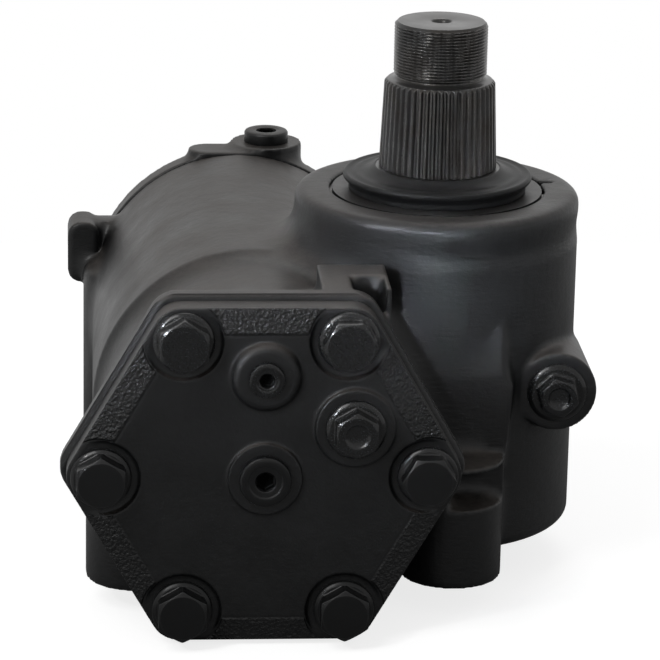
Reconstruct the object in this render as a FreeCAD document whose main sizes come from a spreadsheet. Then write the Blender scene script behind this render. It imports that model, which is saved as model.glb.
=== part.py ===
import FreeCAD, Part
import math
import os

import Sketcher
from FreeCAD import Placement, Rotation, Vector

# Hydraulic power steering gear with a recirculating-ball screw, a rack piston and a sector shaft.
# +X points from the cylinder to the sector shaft, +Y from the cylinder cover to the input shaft and
# +Z up the sector shaft. The origin is the middle of the four mounting holes, on the mounting face.

doc = FreeCAD.newDocument("PowerSteeringGear")


class Dim:
    """A length that carries its number and the expression that ties it to the sheet."""

    def __init__(self, value, text):
        self.value = float(value)
        self.text = text

    def join(self, other, sign, value):
        return Dim(value, "(%s %s %s)" % (self.text, sign, textOf(other)))

    def __add__(self, other):
        return self.join(other, "+", self.value + valueOf(other))

    def __radd__(self, other):
        return self + other

    def __sub__(self, other):
        return self.join(other, "-", self.value - valueOf(other))

    def __rsub__(self, other):
        return -self + other

    def __mul__(self, other):
        return self.join(other, "*", self.value * valueOf(other))

    def __rmul__(self, other):
        return self * other

    def __truediv__(self, other):
        return self.join(other, "/", self.value / valueOf(other))

    def __neg__(self):
        return self * -1


def valueOf(item):
    return item.value if isinstance(item, Dim) else float(item)


def textOf(item):
    return item.text if isinstance(item, Dim) else "%.9g" % item


def smallest(first, second):
    return Dim(min(first.value, second.value), "min(%s; %s)" % (first.text, second.text))


def largest(first, second):
    return Dim(max(first.value, second.value), "max(%s; %s)" % (first.text, second.text))


class Sizes:
    """The spreadsheet of driving dimensions, read as sizes.name."""

    def __init__(self, title, rows):
        self.rows = rows
        self.sheet = doc.addObject("Spreadsheet::Sheet", title)
        for line, (name, number) in enumerate(rows.items(), start=1):
            self.sheet.set("A%d" % line, name)
            self.sheet.set("B%d" % line, str(number))
            self.sheet.setAlias("B%d" % line, name)
        doc.recompute()

    def __getattr__(self, name):
        return Dim(self.rows[name], "Sizes." + name)


dimensions = {
    # fits
    "runGap": 0.05,
    "freeGap": 0.3,
    "boltGap": 0.5,
    # cylinder and barrel, radii about the cylinder axis
    "boreRadius": 57.5,
    "neckRadius": 73.5,
    "barrelRadius": 78.0,
    "barrelEndRadius": 76.3,
    "housingLength": 280.5,
    "stepDistance": 94.0,
    "stepLength": 8.0,
    # hexagonal end flange and cylinder cover
    "flangeApothem": 83.0,
    "flangeThickness": 9.5,
    "coverApothem": 80.5,
    "coverEdge": 12.5,
    "coverBevel": 3.0,
    "bevelWidth": 13.0,
    "hexCorner": 14.0,
    "coverSpigot": 4.0,
    "coverBoltCircle": 75.0,
    "coverBoltRadius": 7.0,
    "coverBoltHex": 22.0,
    "coverBoltFlange": 14.0,
    "boltFlangeThickness": 2.6,
    "coverBoltHead": 9.0,
    "spotRadius": 17.8,
    "spotDepth": 2.6,
    "coverSealInner": 61.0,
    "coverSealWidth": 3.0,
    "coverSealDepth": 2.2,
    # plugs on the cover
    "centrePlugCollar": 11.9,
    "centrePlugShank": 9.0,
    "centrePlugHeight": 4.0,
    "centrePlugSocket": 8.0,
    "centreBossRadius": 17.0,
    "centreBossHeight": 2.0,
    "bleedHeight": 49.0,
    "bleedCollar": 8.2,
    "bleedShank": 5.0,
    "bleedPlugHeight": 3.0,
    "bleedSocket": 6.0,
    "bleedBossRadius": 16.0,
    "bleedBossHeight": 4.5,
    "bleedDomeRound": 4.3,
    "plugDepth": 11.0,
    "limiterPlaceX": 41.0,
    "limiterPlaceZ": 24.5,
    "limiterBossRadius": 18.5,
    "limiterBossHeight": 2.5,
    "limiterFlange": 13.8,
    "limiterHex": 19.0,
    "limiterHexHeight": 9.0,
    "limiterShank": 7.0,
    "limiterPinRadius": 3.5,
    "limiterStop": 0.4,
    # sector shaft tower
    "centreDistance": 89.2,
    "shaftSetback": 118.5,
    "towerRadius": 69.0,
    "towerTop": 102.0,
    "towerBottom": 62.0,
    "towerTopRound": 5.0,
    "towerBottomRound": 5.0,
    "towerBlend": 14.0,
    # fairing between the front foot and the side boss, about the sector axis
    "fairingLead": 0.5,
    "fairingLength": 9.5,
    "fairingLeftDraft": 17.0,
    "fairingDraft": 1.0,
    "fairingRight": 28.7,
    "fairingWide": 32.2,
    "fairingBottom": 20.0,
    "fairingShoulder": 22.0,
    "fairingTop": 28.0,
    "fairingSlope": 44.0,
    "cavityRadius": 52.2,
    "cavityFloor": 31.0,
    "ringGroove": 2.4,
    "snapRingDepth": 5.0,
    "snapRingThickness": 2.5,
    "snapRingWidth": 3.2,
    "ringGap": 8.0,
    "ringNotch": 3.0,
    "ringNotchPlace": 9.0,
    "ringNotchReach": 5.5,
    # mounting feet, round columns with tapped holes in their lower faces
    "footDrop": 70.0,
    "footSpacingX": 150.0,
    "footRightX": 93.0,
    "footSetback": 47.5,
    "rearFootSetback": 33.0,
    "footRadius": 24.5,
    "frontFootHeight": 59.5,
    "rearFootHeight": 96.0,
    "frontFootRound": 2.0,
    "rearFootRound": 6.0,
    "footTapRadius": 9.25,
    "footTapDepth": 34.0,
    "recessBottom": 31.0,
    "recessTop": 13.0,
    "recessDepth": 20.0,
    # lugs cast on the housing
    "sideLugReach": 89.5,
    "sideLugWidth": 16.0,
    "sideLugBottom": 13.0,
    "sideLugHeight": 32.5,
    "sideLugLength": 24.0,
    "sideLugRound": 7.0,
    "sideLugWebReach": 40.0,
    "sideLugWebDrop": 2.1,
    "sideLugWebLength": 13.5,
    "topLugLeft": 26.6,
    "topLugRight": 58.4,
    "topLugLength": 40.8,
    "topLugWall": 2.2,
    "topLugPocketWidth": 15.5,
    "topLugPocketLength": 21.7,
    "topLugPocketDepth": 23.0,
    # boss and valve plug on the side of the tower
    "sideBossOut": 54.5,
    "sideBossHeight": 16.0,
    "sideBossFront": 58.0,
    "sideBossRadius": 19.3,
    "sideBossLength": 55.0,
    "sideBossRound": 7.0,
    "sidePlugFlange": 14.3,
    "sidePlugHex": 17.0,
    "sidePlugHexHeight": 8.0,
    "sidePlugShank": 8.0,
    "sidePlugDepth": 20.0,
    # rack and sector
    "rackPitch": 22.0,
    "sectorPitchRadius": 45.5,
    "addendum": 6.0,
    "rootDepth": 7.0,
    "flankGap": 0.12,
    "sectorWidth": 56.0,
    "sectorHub": 34.0,
    # piston
    "pistonGap": 0.1,
    "pistonFront": 41.5,
    "pistonLength": 169.0,
    "pistonChamfer": 2.0,
    "rackEndSpace": 5.0,
    "pistonRingPlace": 6.0,
    "pistonRingWidth": 4.0,
    "pistonRingDepth": 4.5,
    "screwBore": 19.2,
    "screwBoreEnd": 22.0,
    "poppetRadius": 5.0,
    "poppetStem": 2.5,
    "poppetStemLength": 5.0,
    "poppetLength": 12.0,
    # ball screw
    "ballCircle": 18.0,
    "ballRadius": 3.57,
    "ballLead": 15.0,
    "ballGap": 0.08,
    "ballZoneEnd": 14.0,
    "ballZoneLength": 46.0,
    "tubeRadius": 4.6,
    "tubeBore": 3.75,
    "tubeReach": 34.0,
    "wormLength": 142.0,
    "wormFlange": 24.0,
    "wormFlangeThickness": 6.0,
    "wormFlangeGap": 3.0,
    "wormJournal": 20.0,
    "wormBearingInset": 1.2,
    "wormStubLength": 14.0,
    "wormBore": 8.0,
    "wormShoulder": 22.0,
    # rotary valve and input shaft
    "spigotLength": 24.0,
    "wormBearingOuter": 36.0,
    "wormBearingWidth": 14.0,
    "sleeveRadius": 28.0,
    "sleeveLength": 52.0,
    "sleeveSealDepth": 2.0,
    "sleeveSealWidth": 2.4,
    "sleeveSealPitch": 13.0,
    "sealStandOut": 0.25,
    "rotorRadius": 15.9,
    "inputRadius": 15.0,
    "inputLength": 86.0,
    "inputStubRadius": 12.5,
    "inputStubLength": 34.0,
    "barRadius": 5.0,
    "barHeadLength": 14.0,
    "barSetback": 40.0,
    "barInset": 10.0,
    "pinPlay": 0.7,
    "pinInset": 1.0,
    "rotorGap": 1.0,
    "pinRadius": 2.5,
    # valve housing
    "valveFlangeRadius": 77.2,
    "valveFlangeThickness": 13.5,
    "valveBodyLength": 48.0,
    "valveNoseRadius": 34.0,
    "valveNoseLength": 18.0,
    "valveWallRadius": 45.0,
    "valveEdgeRound": 4.0,
    "valveSealDepth": 3.0,
    "valveSealWidth": 3.0,
    "valveSealPlace": 9.0,
    "inputBearingOuter": 20.0,
    "inputBearingWidth": 14.0,
    "inputSealOuter": 23.0,
    "inputSealWidth": 8.0,
    "valveBoltRoom": 11.9,
    "valveBoltRadius": 6.0,
    "valveBoltHex": 18.0,
    "valveBoltHead": 8.0,
    "valveBoltDepth": 22.0,
    "portBossRadius": 18.7,
    "portBossX": 16.0,
    "portBossTop": 79.0,
    "portBossBottom": 63.0,
    "portWebWidth": 24.0,
    "portPlugCollar": 11.6,
    "portPlugHeight": 6.3,
    "portPlugShank": 8.8,
    "portPlugDepth": 14.0,
    "portBossPlace": 5.2,
    "portPlugSocket": 9.0,
    "padLeft": 25.5,
    "padTop": 77.2,
    "padBottom": 66.0,
    "padLength": 21.0,
    "padRound": 9.0,
    "sidePortRadius": 8.25,
    "sidePortDepth": 16.0,
    "sidePortBoss": 16.5,
    "sidePortReach": 72.0,
    "sidePortSpread": 20.0,
    "sidePortPlace": 26.0,
    "portPassage": 4.0,
    "restPadWidth": 34.0,
    "dustCapRadius": 27.0,
    "dustCapLength": 11.0,
    "dustCapLip": 3.0,
    # sector shaft
    "journalRadius": 30.0,
    "lowerJournalRadius": 25.0,
    "lowerJournalEnd": 53.0,
    "splineBottom": 113.5,
    "splineTop": 156.0,
    "splineBottomRadius": 28.5,
    "splineTopRadius": 26.7,
    "splineDepth": 1.3,
    "splineReach": 0.02,
    "threadRadius": 22.5,
    "threadRelief": 2.5,
    "shaftTop": 184.5,
    "threadChamfer": 1.6,
    "centreHole": 4.3,
    "centreHoleDepth": 5.0,
    "headPocketRadius": 11.5,
    "headPocketDepth": 12.0,
    # bearings, seal, boot and retaining cover of the sector shaft
    "upperBearingOuter": 36.0,
    "upperBearingWidth": 22.0,
    "bearingCoverBottom": 44.5,
    "bearingCoverTop": 101.6,
    "bearingCoverNeck": 50.9,
    "shaftSealOuter": 42.0,
    "shaftSealWidth": 10.0,
    "shaftSealPlace": 83.0,
    "bearingShelf": 2.0,
    "bootRimRadius": 45.8,
    "bootBaseRadius": 43.0,
    "bootRimHeight": 7.6,
    "bootHeight": 11.2,
    "bootBaseHeight": 2.6,
    "bootRimBand": 1.5,
    "bootRimInset": 2.3,
    "bootRimRise": 0.8,
    "bootDish": 0.4,
    "bootNeckWidth": 6.0,
    "lowerBearingOuter": 31.0,
    "lowerBearingWidth": 20.0,
    # side cover under the tower
    "sideCoverRadius": 57.0,
    "sideCoverThickness": 13.5,
    "sideCoverSpigot": 39.0,
    "sideCoverHub": 20.0,
    "sideCoverHubHeight": 6.0,
    "sideSealWidth": 3.0,
    "sideSealDepth": 2.5,
    "sideScrewCircle": 48.5,
    "sideScrewRadius": 5.0,
    "sideScrewHead": 8.0,
    "sideScrewHeadHeight": 10.0,
    "sideScrewSocket": 8.0,
    "sideScrewLength": 19.0,
    "socketDepth": 5.0,
    "adjusterRadius": 8.0,
    "adjusterHead": 11.0,
    "adjusterNeck": 6.5,
    "retainerThickness": 2.5,
    "adjusterHeadHeight": 5.0,
    "adjusterEnd": 83.0,
    "adjusterSocket": 8.0,
    "adjusterSocketDepth": 6.0,
    "lockNutHex": 27.0,
    "lockNutHeight": 9.0,
}
sizes = Sizes("Sizes", dimensions)

# Counts and the tooth angle, which are plain numbers.
coverBoltAngles = range(0, 360, 60)
flatTopBolts = (0, 60)
limiterTurn = 15.0
valveBoltAngles = range(165, 376, 42)
sideScrewAngles = range(-135, 136, 45)
splineTeeth = 48
splineSpace = 0.84
blendShare = 0.75
sectorTeeth = 5
pressureAngle = math.radians(25.0)
ballCount = 6
ballTurns = 2.0
sleeveSeals = 3

# Places along the cylinder axis, measured from the front faces of the cover bolts.
coverSeat = sizes.coverBoltHead + sizes.boltFlangeThickness
coverFront = coverSeat - sizes.spotDepth
coverEdgeY = coverFront + sizes.coverBevel
jointY = coverEdgeY + sizes.coverEdge
flangeBack = jointY + sizes.flangeThickness
stepY = jointY + sizes.stepDistance
barrelEnd = jointY + sizes.housingLength
shaftY = jointY + sizes.shaftSetback
valveFlangeBack = barrelEnd + sizes.valveFlangeThickness
spigotFront = barrelEnd - sizes.spigotLength
valveNoseEnd = valveFlangeBack + sizes.valveBodyLength + sizes.valveNoseLength
pistonFrontY = jointY + sizes.pistonFront
pistonBackY = pistonFrontY + sizes.pistonLength
ballZoneBack = pistonBackY - sizes.ballZoneEnd
wormFlangeY = spigotFront - sizes.wormFlangeGap - sizes.wormFlangeThickness
sleeveY = wormFlangeY + sizes.wormFlangeThickness + sizes.wormShoulder
sleeveEnd = sleeveY + sizes.sleeveLength
footFrontY = jointY + sizes.footSetback
footRearY = barrelEnd - sizes.rearFootSetback
footLeftX = sizes.footRightX - sizes.footSpacingX
snapRingZ = sizes.towerTop - sizes.snapRingDepth
valveBoltCircle = (sizes.boreRadius + sizes.barrelEndRadius) / 2
valveBodyRadius = valveBoltCircle - sizes.valveBoltRoom

# The cylinder axis and the sector axis, seen from the origin on the mounting face.
barrelPlace = (-(sizes.footRightX - sizes.footSpacingX / 2), -(footFrontY + footRearY) / 2,
               sizes.footDrop)
towerPlace = (barrelPlace[0] + sizes.centreDistance, barrelPlace[1] + shaftY, barrelPlace[2])

pieces = []


def planeOf(body, role):
    return [item for item in body.Origin.OriginFeatures if item.Role == role][0]


def newBody(label, place):
    """An empty body at a place whose three coordinates follow the sheet."""
    body = doc.addObject("PartDesign::Body", label)
    body.Label = label
    body.AllowCompound = True
    for axis, item in zip("xyz", place):
        body.setExpression("Placement.Base." + axis, textOf(item))
    pieces.append(body)
    return body


def newSketch(body, name, plane, offset=0.0):
    """A sketch on an origin plane of the body, moved along the plane's normal."""
    sketch = body.newObject("Sketcher::SketchObject", name)
    sketch.AttachmentSupport = [(planeOf(body, plane + "_Plane"), "")]
    sketch.MapMode = "FlatFace"
    sketch.AttachmentOffset = Placement(Vector(0, 0, valueOf(offset)), Rotation())
    sketch.setExpression("AttachmentOffset.Base.z", textOf(offset))
    return sketch


def hold(sketch, kind, refs, size):
    """Adds a dimension and ties it to the sheet."""
    index = sketch.addConstraint(Sketcher.Constraint(kind, *refs, valueOf(size)))
    sketch.setExpression("Constraints[%d]" % index, textOf(size))


def holdPoint(sketch, edge, end, point):
    """Fixes a point of the sketch; a plain zero puts it on the axis."""
    for kind, axis, size in (("DistanceX", -2, point[0]), ("DistanceY", -1, point[1])):
        if abs(valueOf(size)) < 1e-9:
            sketch.addConstraint(Sketcher.Constraint("PointOnObject", edge, end, axis))
        else:
            hold(sketch, kind, (-1, 1, edge, end), size)


def arcBetween(start, end, radius):
    """The short arc between two points; a positive radius bulges to the right of the way."""
    middle = (start + end) * 0.5
    half = (end - start) * 0.5
    side = Vector(half.y, -half.x, 0)
    side.normalize()
    sagitta = abs(radius) - math.sqrt(max(radius * radius - half.Length ** 2, 0.0))
    top = middle + side * math.copysign(sagitta, radius)
    return Part.Arc(start, top, end) if radius > 0 else Part.Arc(end, top, start)


def drawLoop(sketch, corners):
    """A closed outline. A corner is (x, y), or (x, y, radius) where an arc leads to the next one."""
    first = sketch.GeometryCount
    count = len(corners)
    spots = [Vector(valueOf(corner[0]), valueOf(corner[1]), 0) for corner in corners]
    for index, corner in enumerate(corners):
        start, end = spots[index], spots[(index + 1) % count]
        if len(corner) == 3:
            sketch.addGeometry(arcBetween(start, end, valueOf(corner[2])), False)
        else:
            sketch.addGeometry(Part.LineSegment(start, end), False)
    ends = [(2, 1) if len(corner) == 3 and valueOf(corner[2]) < 0 else (1, 2) for corner in corners]
    for index in range(count):
        after = (index + 1) % count
        sketch.addConstraint(Sketcher.Constraint(
            "Coincident", first + index, ends[index][1], first + after, ends[after][0]))
    for index, corner in enumerate(corners):
        holdPoint(sketch, first + index, ends[index][0], corner)
        if len(corner) == 3:
            radius = corner[2]
            hold(sketch, "Radius", (first + index,), radius if valueOf(radius) > 0 else -radius)


def drawCircle(sketch, x, y, radius):
    centre = Vector(valueOf(x), valueOf(y), 0)
    edge = sketch.addGeometry(Part.Circle(centre, Vector(0, 0, 1), valueOf(radius)))
    holdPoint(sketch, edge, 3, (x, y))
    hold(sketch, "Radius", (edge,), radius)


def box(left, bottom, right, top):
    return [(left, bottom), (right, bottom), (right, top), (left, top)]


def roundedBox(left, bottom, right, top, radius):
    """A rectangle whose corners are quarter circles."""
    return [(left + radius, bottom), (right - radius, bottom, radius), (right, bottom + radius),
            (right, top - radius, radius), (right - radius, top), (left + radius, top, radius),
            (left, top - radius), (left, bottom + radius, radius)]


def hexagon(x, y, acrossFlats, turn=0.0):
    """Six corners about a centre; turn is the angle of the first one in degrees."""
    corner = acrossFlats / math.sqrt(3.0)
    turns = [math.radians(turn + 60.0 * step) for step in range(6)]
    return [(x + corner * math.cos(angle), y + corner * math.sin(angle)) for angle in turns]


def roundedHexagon(apothem, radius):
    """A hexagon about the axis with corners left and right, each rounded by an arc."""
    inset = radius * math.tan(math.radians(30.0))
    corners = []
    for step in range(6):
        angle = math.radians(60.0 * step)
        tip = apothem / math.cos(math.radians(30.0))
        for side, arc in ((-1, True), (1, False)):
            along = angle + side * math.radians(120.0)
            x = tip * math.cos(angle) + inset * math.cos(along)
            y = tip * math.sin(angle) + inset * math.sin(along)
            corners.append((x, y, radius) if arc else (x, y))
    return corners


def draw(sketch, shapes):
    """Each shape is a list of corners, or a circle given as (x, y, radius)."""
    for shape in shapes:
        if isinstance(shape, list):
            drawLoop(sketch, shape)
        else:
            drawCircle(sketch, *shape)


def grow(body, feature, cut):
    """Recomputes and makes sure that the feature added or removed material."""
    before = 0.0 if body.Shape.isNull() else body.Shape.Volume
    doc.recompute()
    change = body.Shape.Volume - before
    if (change >= 0.0) if cut else (change <= 0.0):
        raise RuntimeError("%s of %s changed the volume by %.3f" % (feature.Label, body.Label, change))
    return feature


def extrude(body, name, plane, start, length, shapes, cut=False):
    """A pad or pocket from start over length towards the positive axis across the plane."""
    sketch = newSketch(body, name + "Sketch", plane, -start if plane == "XZ" else start)
    draw(sketch, shapes)
    kind = "Pocket" if cut else "Pad"
    feature = body.newObject("PartDesign::" + kind, name)
    feature.Profile = sketch
    feature.Reversed = (plane == "XZ") != cut
    feature.setExpression("Length", textOf(length))
    return grow(body, feature, cut)


def revolve(body, name, axis, shapes, cut=False):
    """A ring or shaft about the body's Y or Z axis from outlines of (radius, place on the axis)."""
    sketch = newSketch(body, name + "Sketch", "XY" if axis == "Y" else "XZ")
    draw(sketch, shapes)
    feature = body.newObject("PartDesign::" + ("Groove" if cut else "Revolution"), name)
    feature.Profile = sketch
    feature.ReferenceAxis = (sketch, ["V_Axis"])
    feature.Angle = 360
    return grow(body, feature, cut)


def turned(label, axis, place, *shapes):
    """A body that is one turned shape."""
    body = newBody(label, place)
    revolve(body, "Turned", axis, shapes)
    return body


def around(body, axis, count, *features):
    """Repeats features around an axis of the body."""
    pattern = body.newObject("PartDesign::PolarPattern", "Pattern" + features[0].Name)
    pattern.Originals = list(features)
    pattern.Axis = (planeOf(body, axis + "_Axis"), [""])
    pattern.Angle = 360
    pattern.Occurrences = count
    body.Tip = pattern
    doc.recompute()
    return pattern


def edgesWhere(shape, test):
    return ["Edge%d" % (index + 1) for index, edge in enumerate(shape.Edges) if test(edge)]


def circleTest(radius, height, axis):
    """Finds round edges of a radius that lie at a height across an axis."""
    def test(edge):
        curve = edge.Curve
        if not isinstance(curve, Part.Circle) or abs(curve.Radius - valueOf(radius)) > 0.01:
            return False
        return abs(getattr(curve.Center, axis) - valueOf(height)) < 0.01
    return test


def soften(body, name, test, radius):
    """Rounds the edges of the body's last feature that pass the test."""
    base = body.Tip
    names = edgesWhere(base.Shape, test)
    if not names:
        raise RuntimeError("%s of %s finds no edge" % (name, body.Label))
    feature = body.newObject("PartDesign::Fillet", name)
    feature.Base = (base, names)
    feature.setExpression("Radius", textOf(radius))
    doc.recompute()
    if not feature.isValid():
        raise RuntimeError("%s of %s fails" % (name, body.Label))
    return feature


def polar(radius, angle):
    return radius * math.cos(angle), radius * math.sin(angle)


def ringOf(x, y, circle, angles, radius):
    """Circles on a bolt circle about a centre, at angles in degrees."""
    holes = []
    for angle in angles:
        across, up = polar(circle, math.radians(angle))
        holes.append((x + across, y + up, radius))
    return holes


def loft(body, name, plane, sections):
    """Joins outlines that lie at different places across a plane."""
    sketches = []
    for index, (offset, shape) in enumerate(sections):
        sketch = newSketch(body, "%sSection%d" % (name, index), plane, -offset if plane == "XZ" else offset)
        draw(sketch, shape)
        sketches.append(sketch)
    feature = body.newObject("PartDesign::AdditiveLoft", name)
    feature.Profile = sketches[0]
    feature.Sections = sketches[1:]
    feature.Ruled = True
    return grow(body, feature, False)


def gearHousing():
    """The casting: barrel with a hexagonal end flange, sector shaft tower, feet, lugs and boss."""
    body = newBody("gear_housing", barrelPlace)
    axisX = sizes.centreDistance
    revolve(body, "Barrel", "Y", [[
        (0, jointY), (sizes.neckRadius, jointY), (sizes.neckRadius, stepY - sizes.stepLength),
        (sizes.barrelRadius, stepY), (sizes.barrelEndRadius, barrelEnd), (0, barrelEnd)]])
    extrude(body, "EndFlange", "XZ", jointY, sizes.flangeThickness,
            [roundedHexagon(sizes.flangeApothem, sizes.hexCorner)])
    extrude(body, "Tower", "XY", -sizes.towerBottom, sizes.towerTop + sizes.towerBottom,
            [(axisX, shaftY, sizes.towerRadius)])
    soften(body, "TowerTopEdge", circleTest(sizes.towerRadius, sizes.towerTop, "z"), sizes.towerTopRound)
    soften(body, "TowerBottomEdge", circleTest(sizes.towerRadius, -sizes.towerBottom, "z"),
           sizes.towerBottomRound)
    wallAbove = sizes.towerTop - sizes.towerTopRound - largest(sizes.barrelRadius, sizes.barrelEndRadius)
    soften(body, "TowerBlend", blendTest, smallest(sizes.towerBlend, wallAbove * blendShare))
    feet = ((footFrontY, sizes.frontFootHeight, sizes.frontFootRound, "FrontFeet"),
            (footRearY, sizes.rearFootHeight, sizes.rearFootRound, "RearFeet"))
    for footY, height, easing, name in feet:
        extrude(body, name, "XY", -sizes.footDrop, height,
                [(footLeftX, footY, sizes.footRadius), (sizes.footRightX, footY, sizes.footRadius)])
        soften(body, name + "Edge", circleTest(sizes.footRadius, height - sizes.footDrop, "z"), easing)
    fairFront = shaftY - sizes.towerRadius - sizes.fairingLead
    loft(body, "FrontFairing", "XZ", [
        (fairFront, [fairing(0.0, 0.0, 0.0)]),
        (fairFront + sizes.fairingLength,
         [fairing(sizes.fairingLeftDraft, sizes.fairingDraft, sizes.fairingSlope)])])
    extrude(body, "TopLug", "XY", 0.0, sizes.flangeApothem,
            [box(sizes.topLugLeft, flangeBack, sizes.topLugRight, flangeBack + sizes.topLugLength)])
    extrude(body, "SideLug", "XZ", barrelEnd - sizes.sideLugLength, sizes.sideLugLength,
            [roundedBox(-sizes.sideLugReach, sizes.sideLugBottom, sizes.sideLugWidth - sizes.sideLugReach,
                        sizes.sideLugBottom + sizes.sideLugHeight, sizes.sideLugRound)])
    extrude(body, "SideLugWeb", "XZ", barrelEnd - sizes.sideLugWebLength, sizes.sideLugWebLength,
            [box(sizes.sideLugRound - sizes.sideLugReach, sizes.sideLugBottom,
                 sizes.sideLugWebReach - sizes.sideLugReach,
                 sizes.sideLugBottom + sizes.sideLugHeight - sizes.sideLugWebDrop)])
    bossX = axisX + sizes.sideBossOut
    bossY = shaftY - sizes.sideBossFront
    extrude(body, "SideBoss", "XZ", bossY, sizes.sideBossLength,
            [(bossX, sizes.sideBossHeight, sizes.sideBossRadius)])
    loft(body, "SideBossEnd", "XZ", [
        (bossY + sizes.sideBossLength, [(bossX, sizes.sideBossHeight, sizes.sideBossRadius)]),
        (bossY + sizes.sideBossLength + sizes.sideBossRound,
         [(bossX, sizes.sideBossHeight, sizes.sideBossRadius - sizes.sideBossRound)])])

    extrude(body, "Cylinder", "XZ", jointY, sizes.housingLength, [(0, 0, sizes.boreRadius)], cut=True)
    extrude(body, "SectorCavity", "XY", -sizes.cavityFloor, sizes.towerTop + sizes.cavityFloor,
            [(axisX, shaftY, sizes.cavityRadius)], cut=True)
    extrude(body, "RingGroove", "XY", snapRingZ, sizes.snapRingThickness,
            [(axisX, shaftY, sizes.cavityRadius + sizes.ringGroove)], cut=True)
    extrude(body, "RingNotch", "XY", snapRingZ, sizes.snapRingDepth,
            [box(axisX, shaftY + sizes.ringNotchPlace, axisX + sizes.cavityRadius + sizes.ringNotchReach,
                 shaftY + sizes.ringNotchPlace + sizes.ringNotch)], cut=True)
    recessTop = sizes.sideCoverThickness - sizes.towerBottom
    extrude(body, "CoverRecess", "XY", -sizes.footDrop, recessTop + sizes.footDrop,
            [(axisX, shaftY, sizes.sideCoverRadius + sizes.runGap)], cut=True)
    extrude(body, "SpigotBore", "XY", recessTop, -sizes.cavityFloor - recessTop,
            [(axisX, shaftY, sizes.sideCoverSpigot + sizes.runGap)], cut=True)
    extrude(body, "SideScrewThreads", "XY", recessTop,
            sizes.sideScrewLength + sizes.sideScrewHeadHeight - sizes.sideCoverThickness,
            ringOf(axisX, shaftY, sizes.sideScrewCircle, sideScrewAngles, sizes.sideScrewRadius), cut=True)
    extrude(body, "FootThreads", "XY", -sizes.footDrop, sizes.footTapDepth,
            [(x, y, sizes.footTapRadius) for x in (footLeftX, sizes.footRightX)
             for y in (footFrontY, footRearY)], cut=True)
    extrude(body, "FootRecess", "XY", -sizes.recessBottom, sizes.recessBottom - sizes.recessTop,
            [box(sizes.footRightX - sizes.footTapRadius / 2, footFrontY - sizes.footRadius - sizes.freeGap,
                 sizes.footRightX + sizes.footRadius + sizes.freeGap,
                 footFrontY - sizes.footRadius + sizes.recessDepth)], cut=True)
    extrude(body, "CoverBoltThreads", "XZ", jointY, sizes.flangeThickness,
            ringOf(0, 0, sizes.coverBoltCircle, coverBoltAngles, sizes.coverBoltRadius), cut=True)
    extrude(body, "ValveBoltThreads", "XZ", barrelEnd - sizes.valveBoltDepth, sizes.valveBoltDepth,
            ringOf(0, 0, valveBoltCircle, valveBoltAngles, sizes.valveBoltRadius),
            cut=True)
    extrude(body, "SidePlugThread", "XZ", bossY, sizes.sidePlugDepth,
            [(bossX, sizes.sideBossHeight, sizes.sidePlugShank)], cut=True)
    pocketRight = sizes.topLugRight - sizes.topLugWall
    extrude(body, "LugPocket", "XY", sizes.flangeApothem - sizes.topLugPocketDepth, sizes.topLugPocketDepth,
            [box(pocketRight - sizes.topLugPocketWidth, flangeBack, pocketRight,
                 flangeBack + sizes.topLugPocketLength)], cut=True)


def fairing(leftSpread, spread, rise):
    """The outline of the front fairing, wider by its drafts and higher by its slope at the back."""
    left = sizes.centreDistance - leftSpread
    right = sizes.centreDistance + sizes.fairingRight + spread
    wide = sizes.centreDistance + sizes.fairingWide + spread
    shoulder = sizes.fairingTop - sizes.fairingShoulder
    return [(left, -sizes.fairingBottom), (right, -sizes.fairingBottom), (wide, sizes.fairingShoulder),
            (wide - shoulder, sizes.fairingTop + rise), (left, sizes.fairingTop + rise)]


def blendTest(edge):
    """The seam of the tower with the barrel and its neck, above and below the cylinder axis."""
    points = [edge.valueAt(edge.FirstParameter + (edge.LastParameter - edge.FirstParameter) * part)
              for part in (0.2, 0.5, 0.8)]
    axisX, axisY = valueOf(sizes.centreDistance), valueOf(shaftY)
    onTower = all(abs(math.hypot(p.x - axisX, p.y - axisY) - valueOf(sizes.towerRadius)) < 0.01
                  for p in points)
    radii = [valueOf(item) for item in (sizes.neckRadius, sizes.barrelRadius, sizes.barrelEndRadius)]
    onBarrel = all(min(radii) - 0.5 < math.hypot(p.x, p.z) < max(radii) + 0.5 for p in points)
    return onTower and onBarrel


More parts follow.
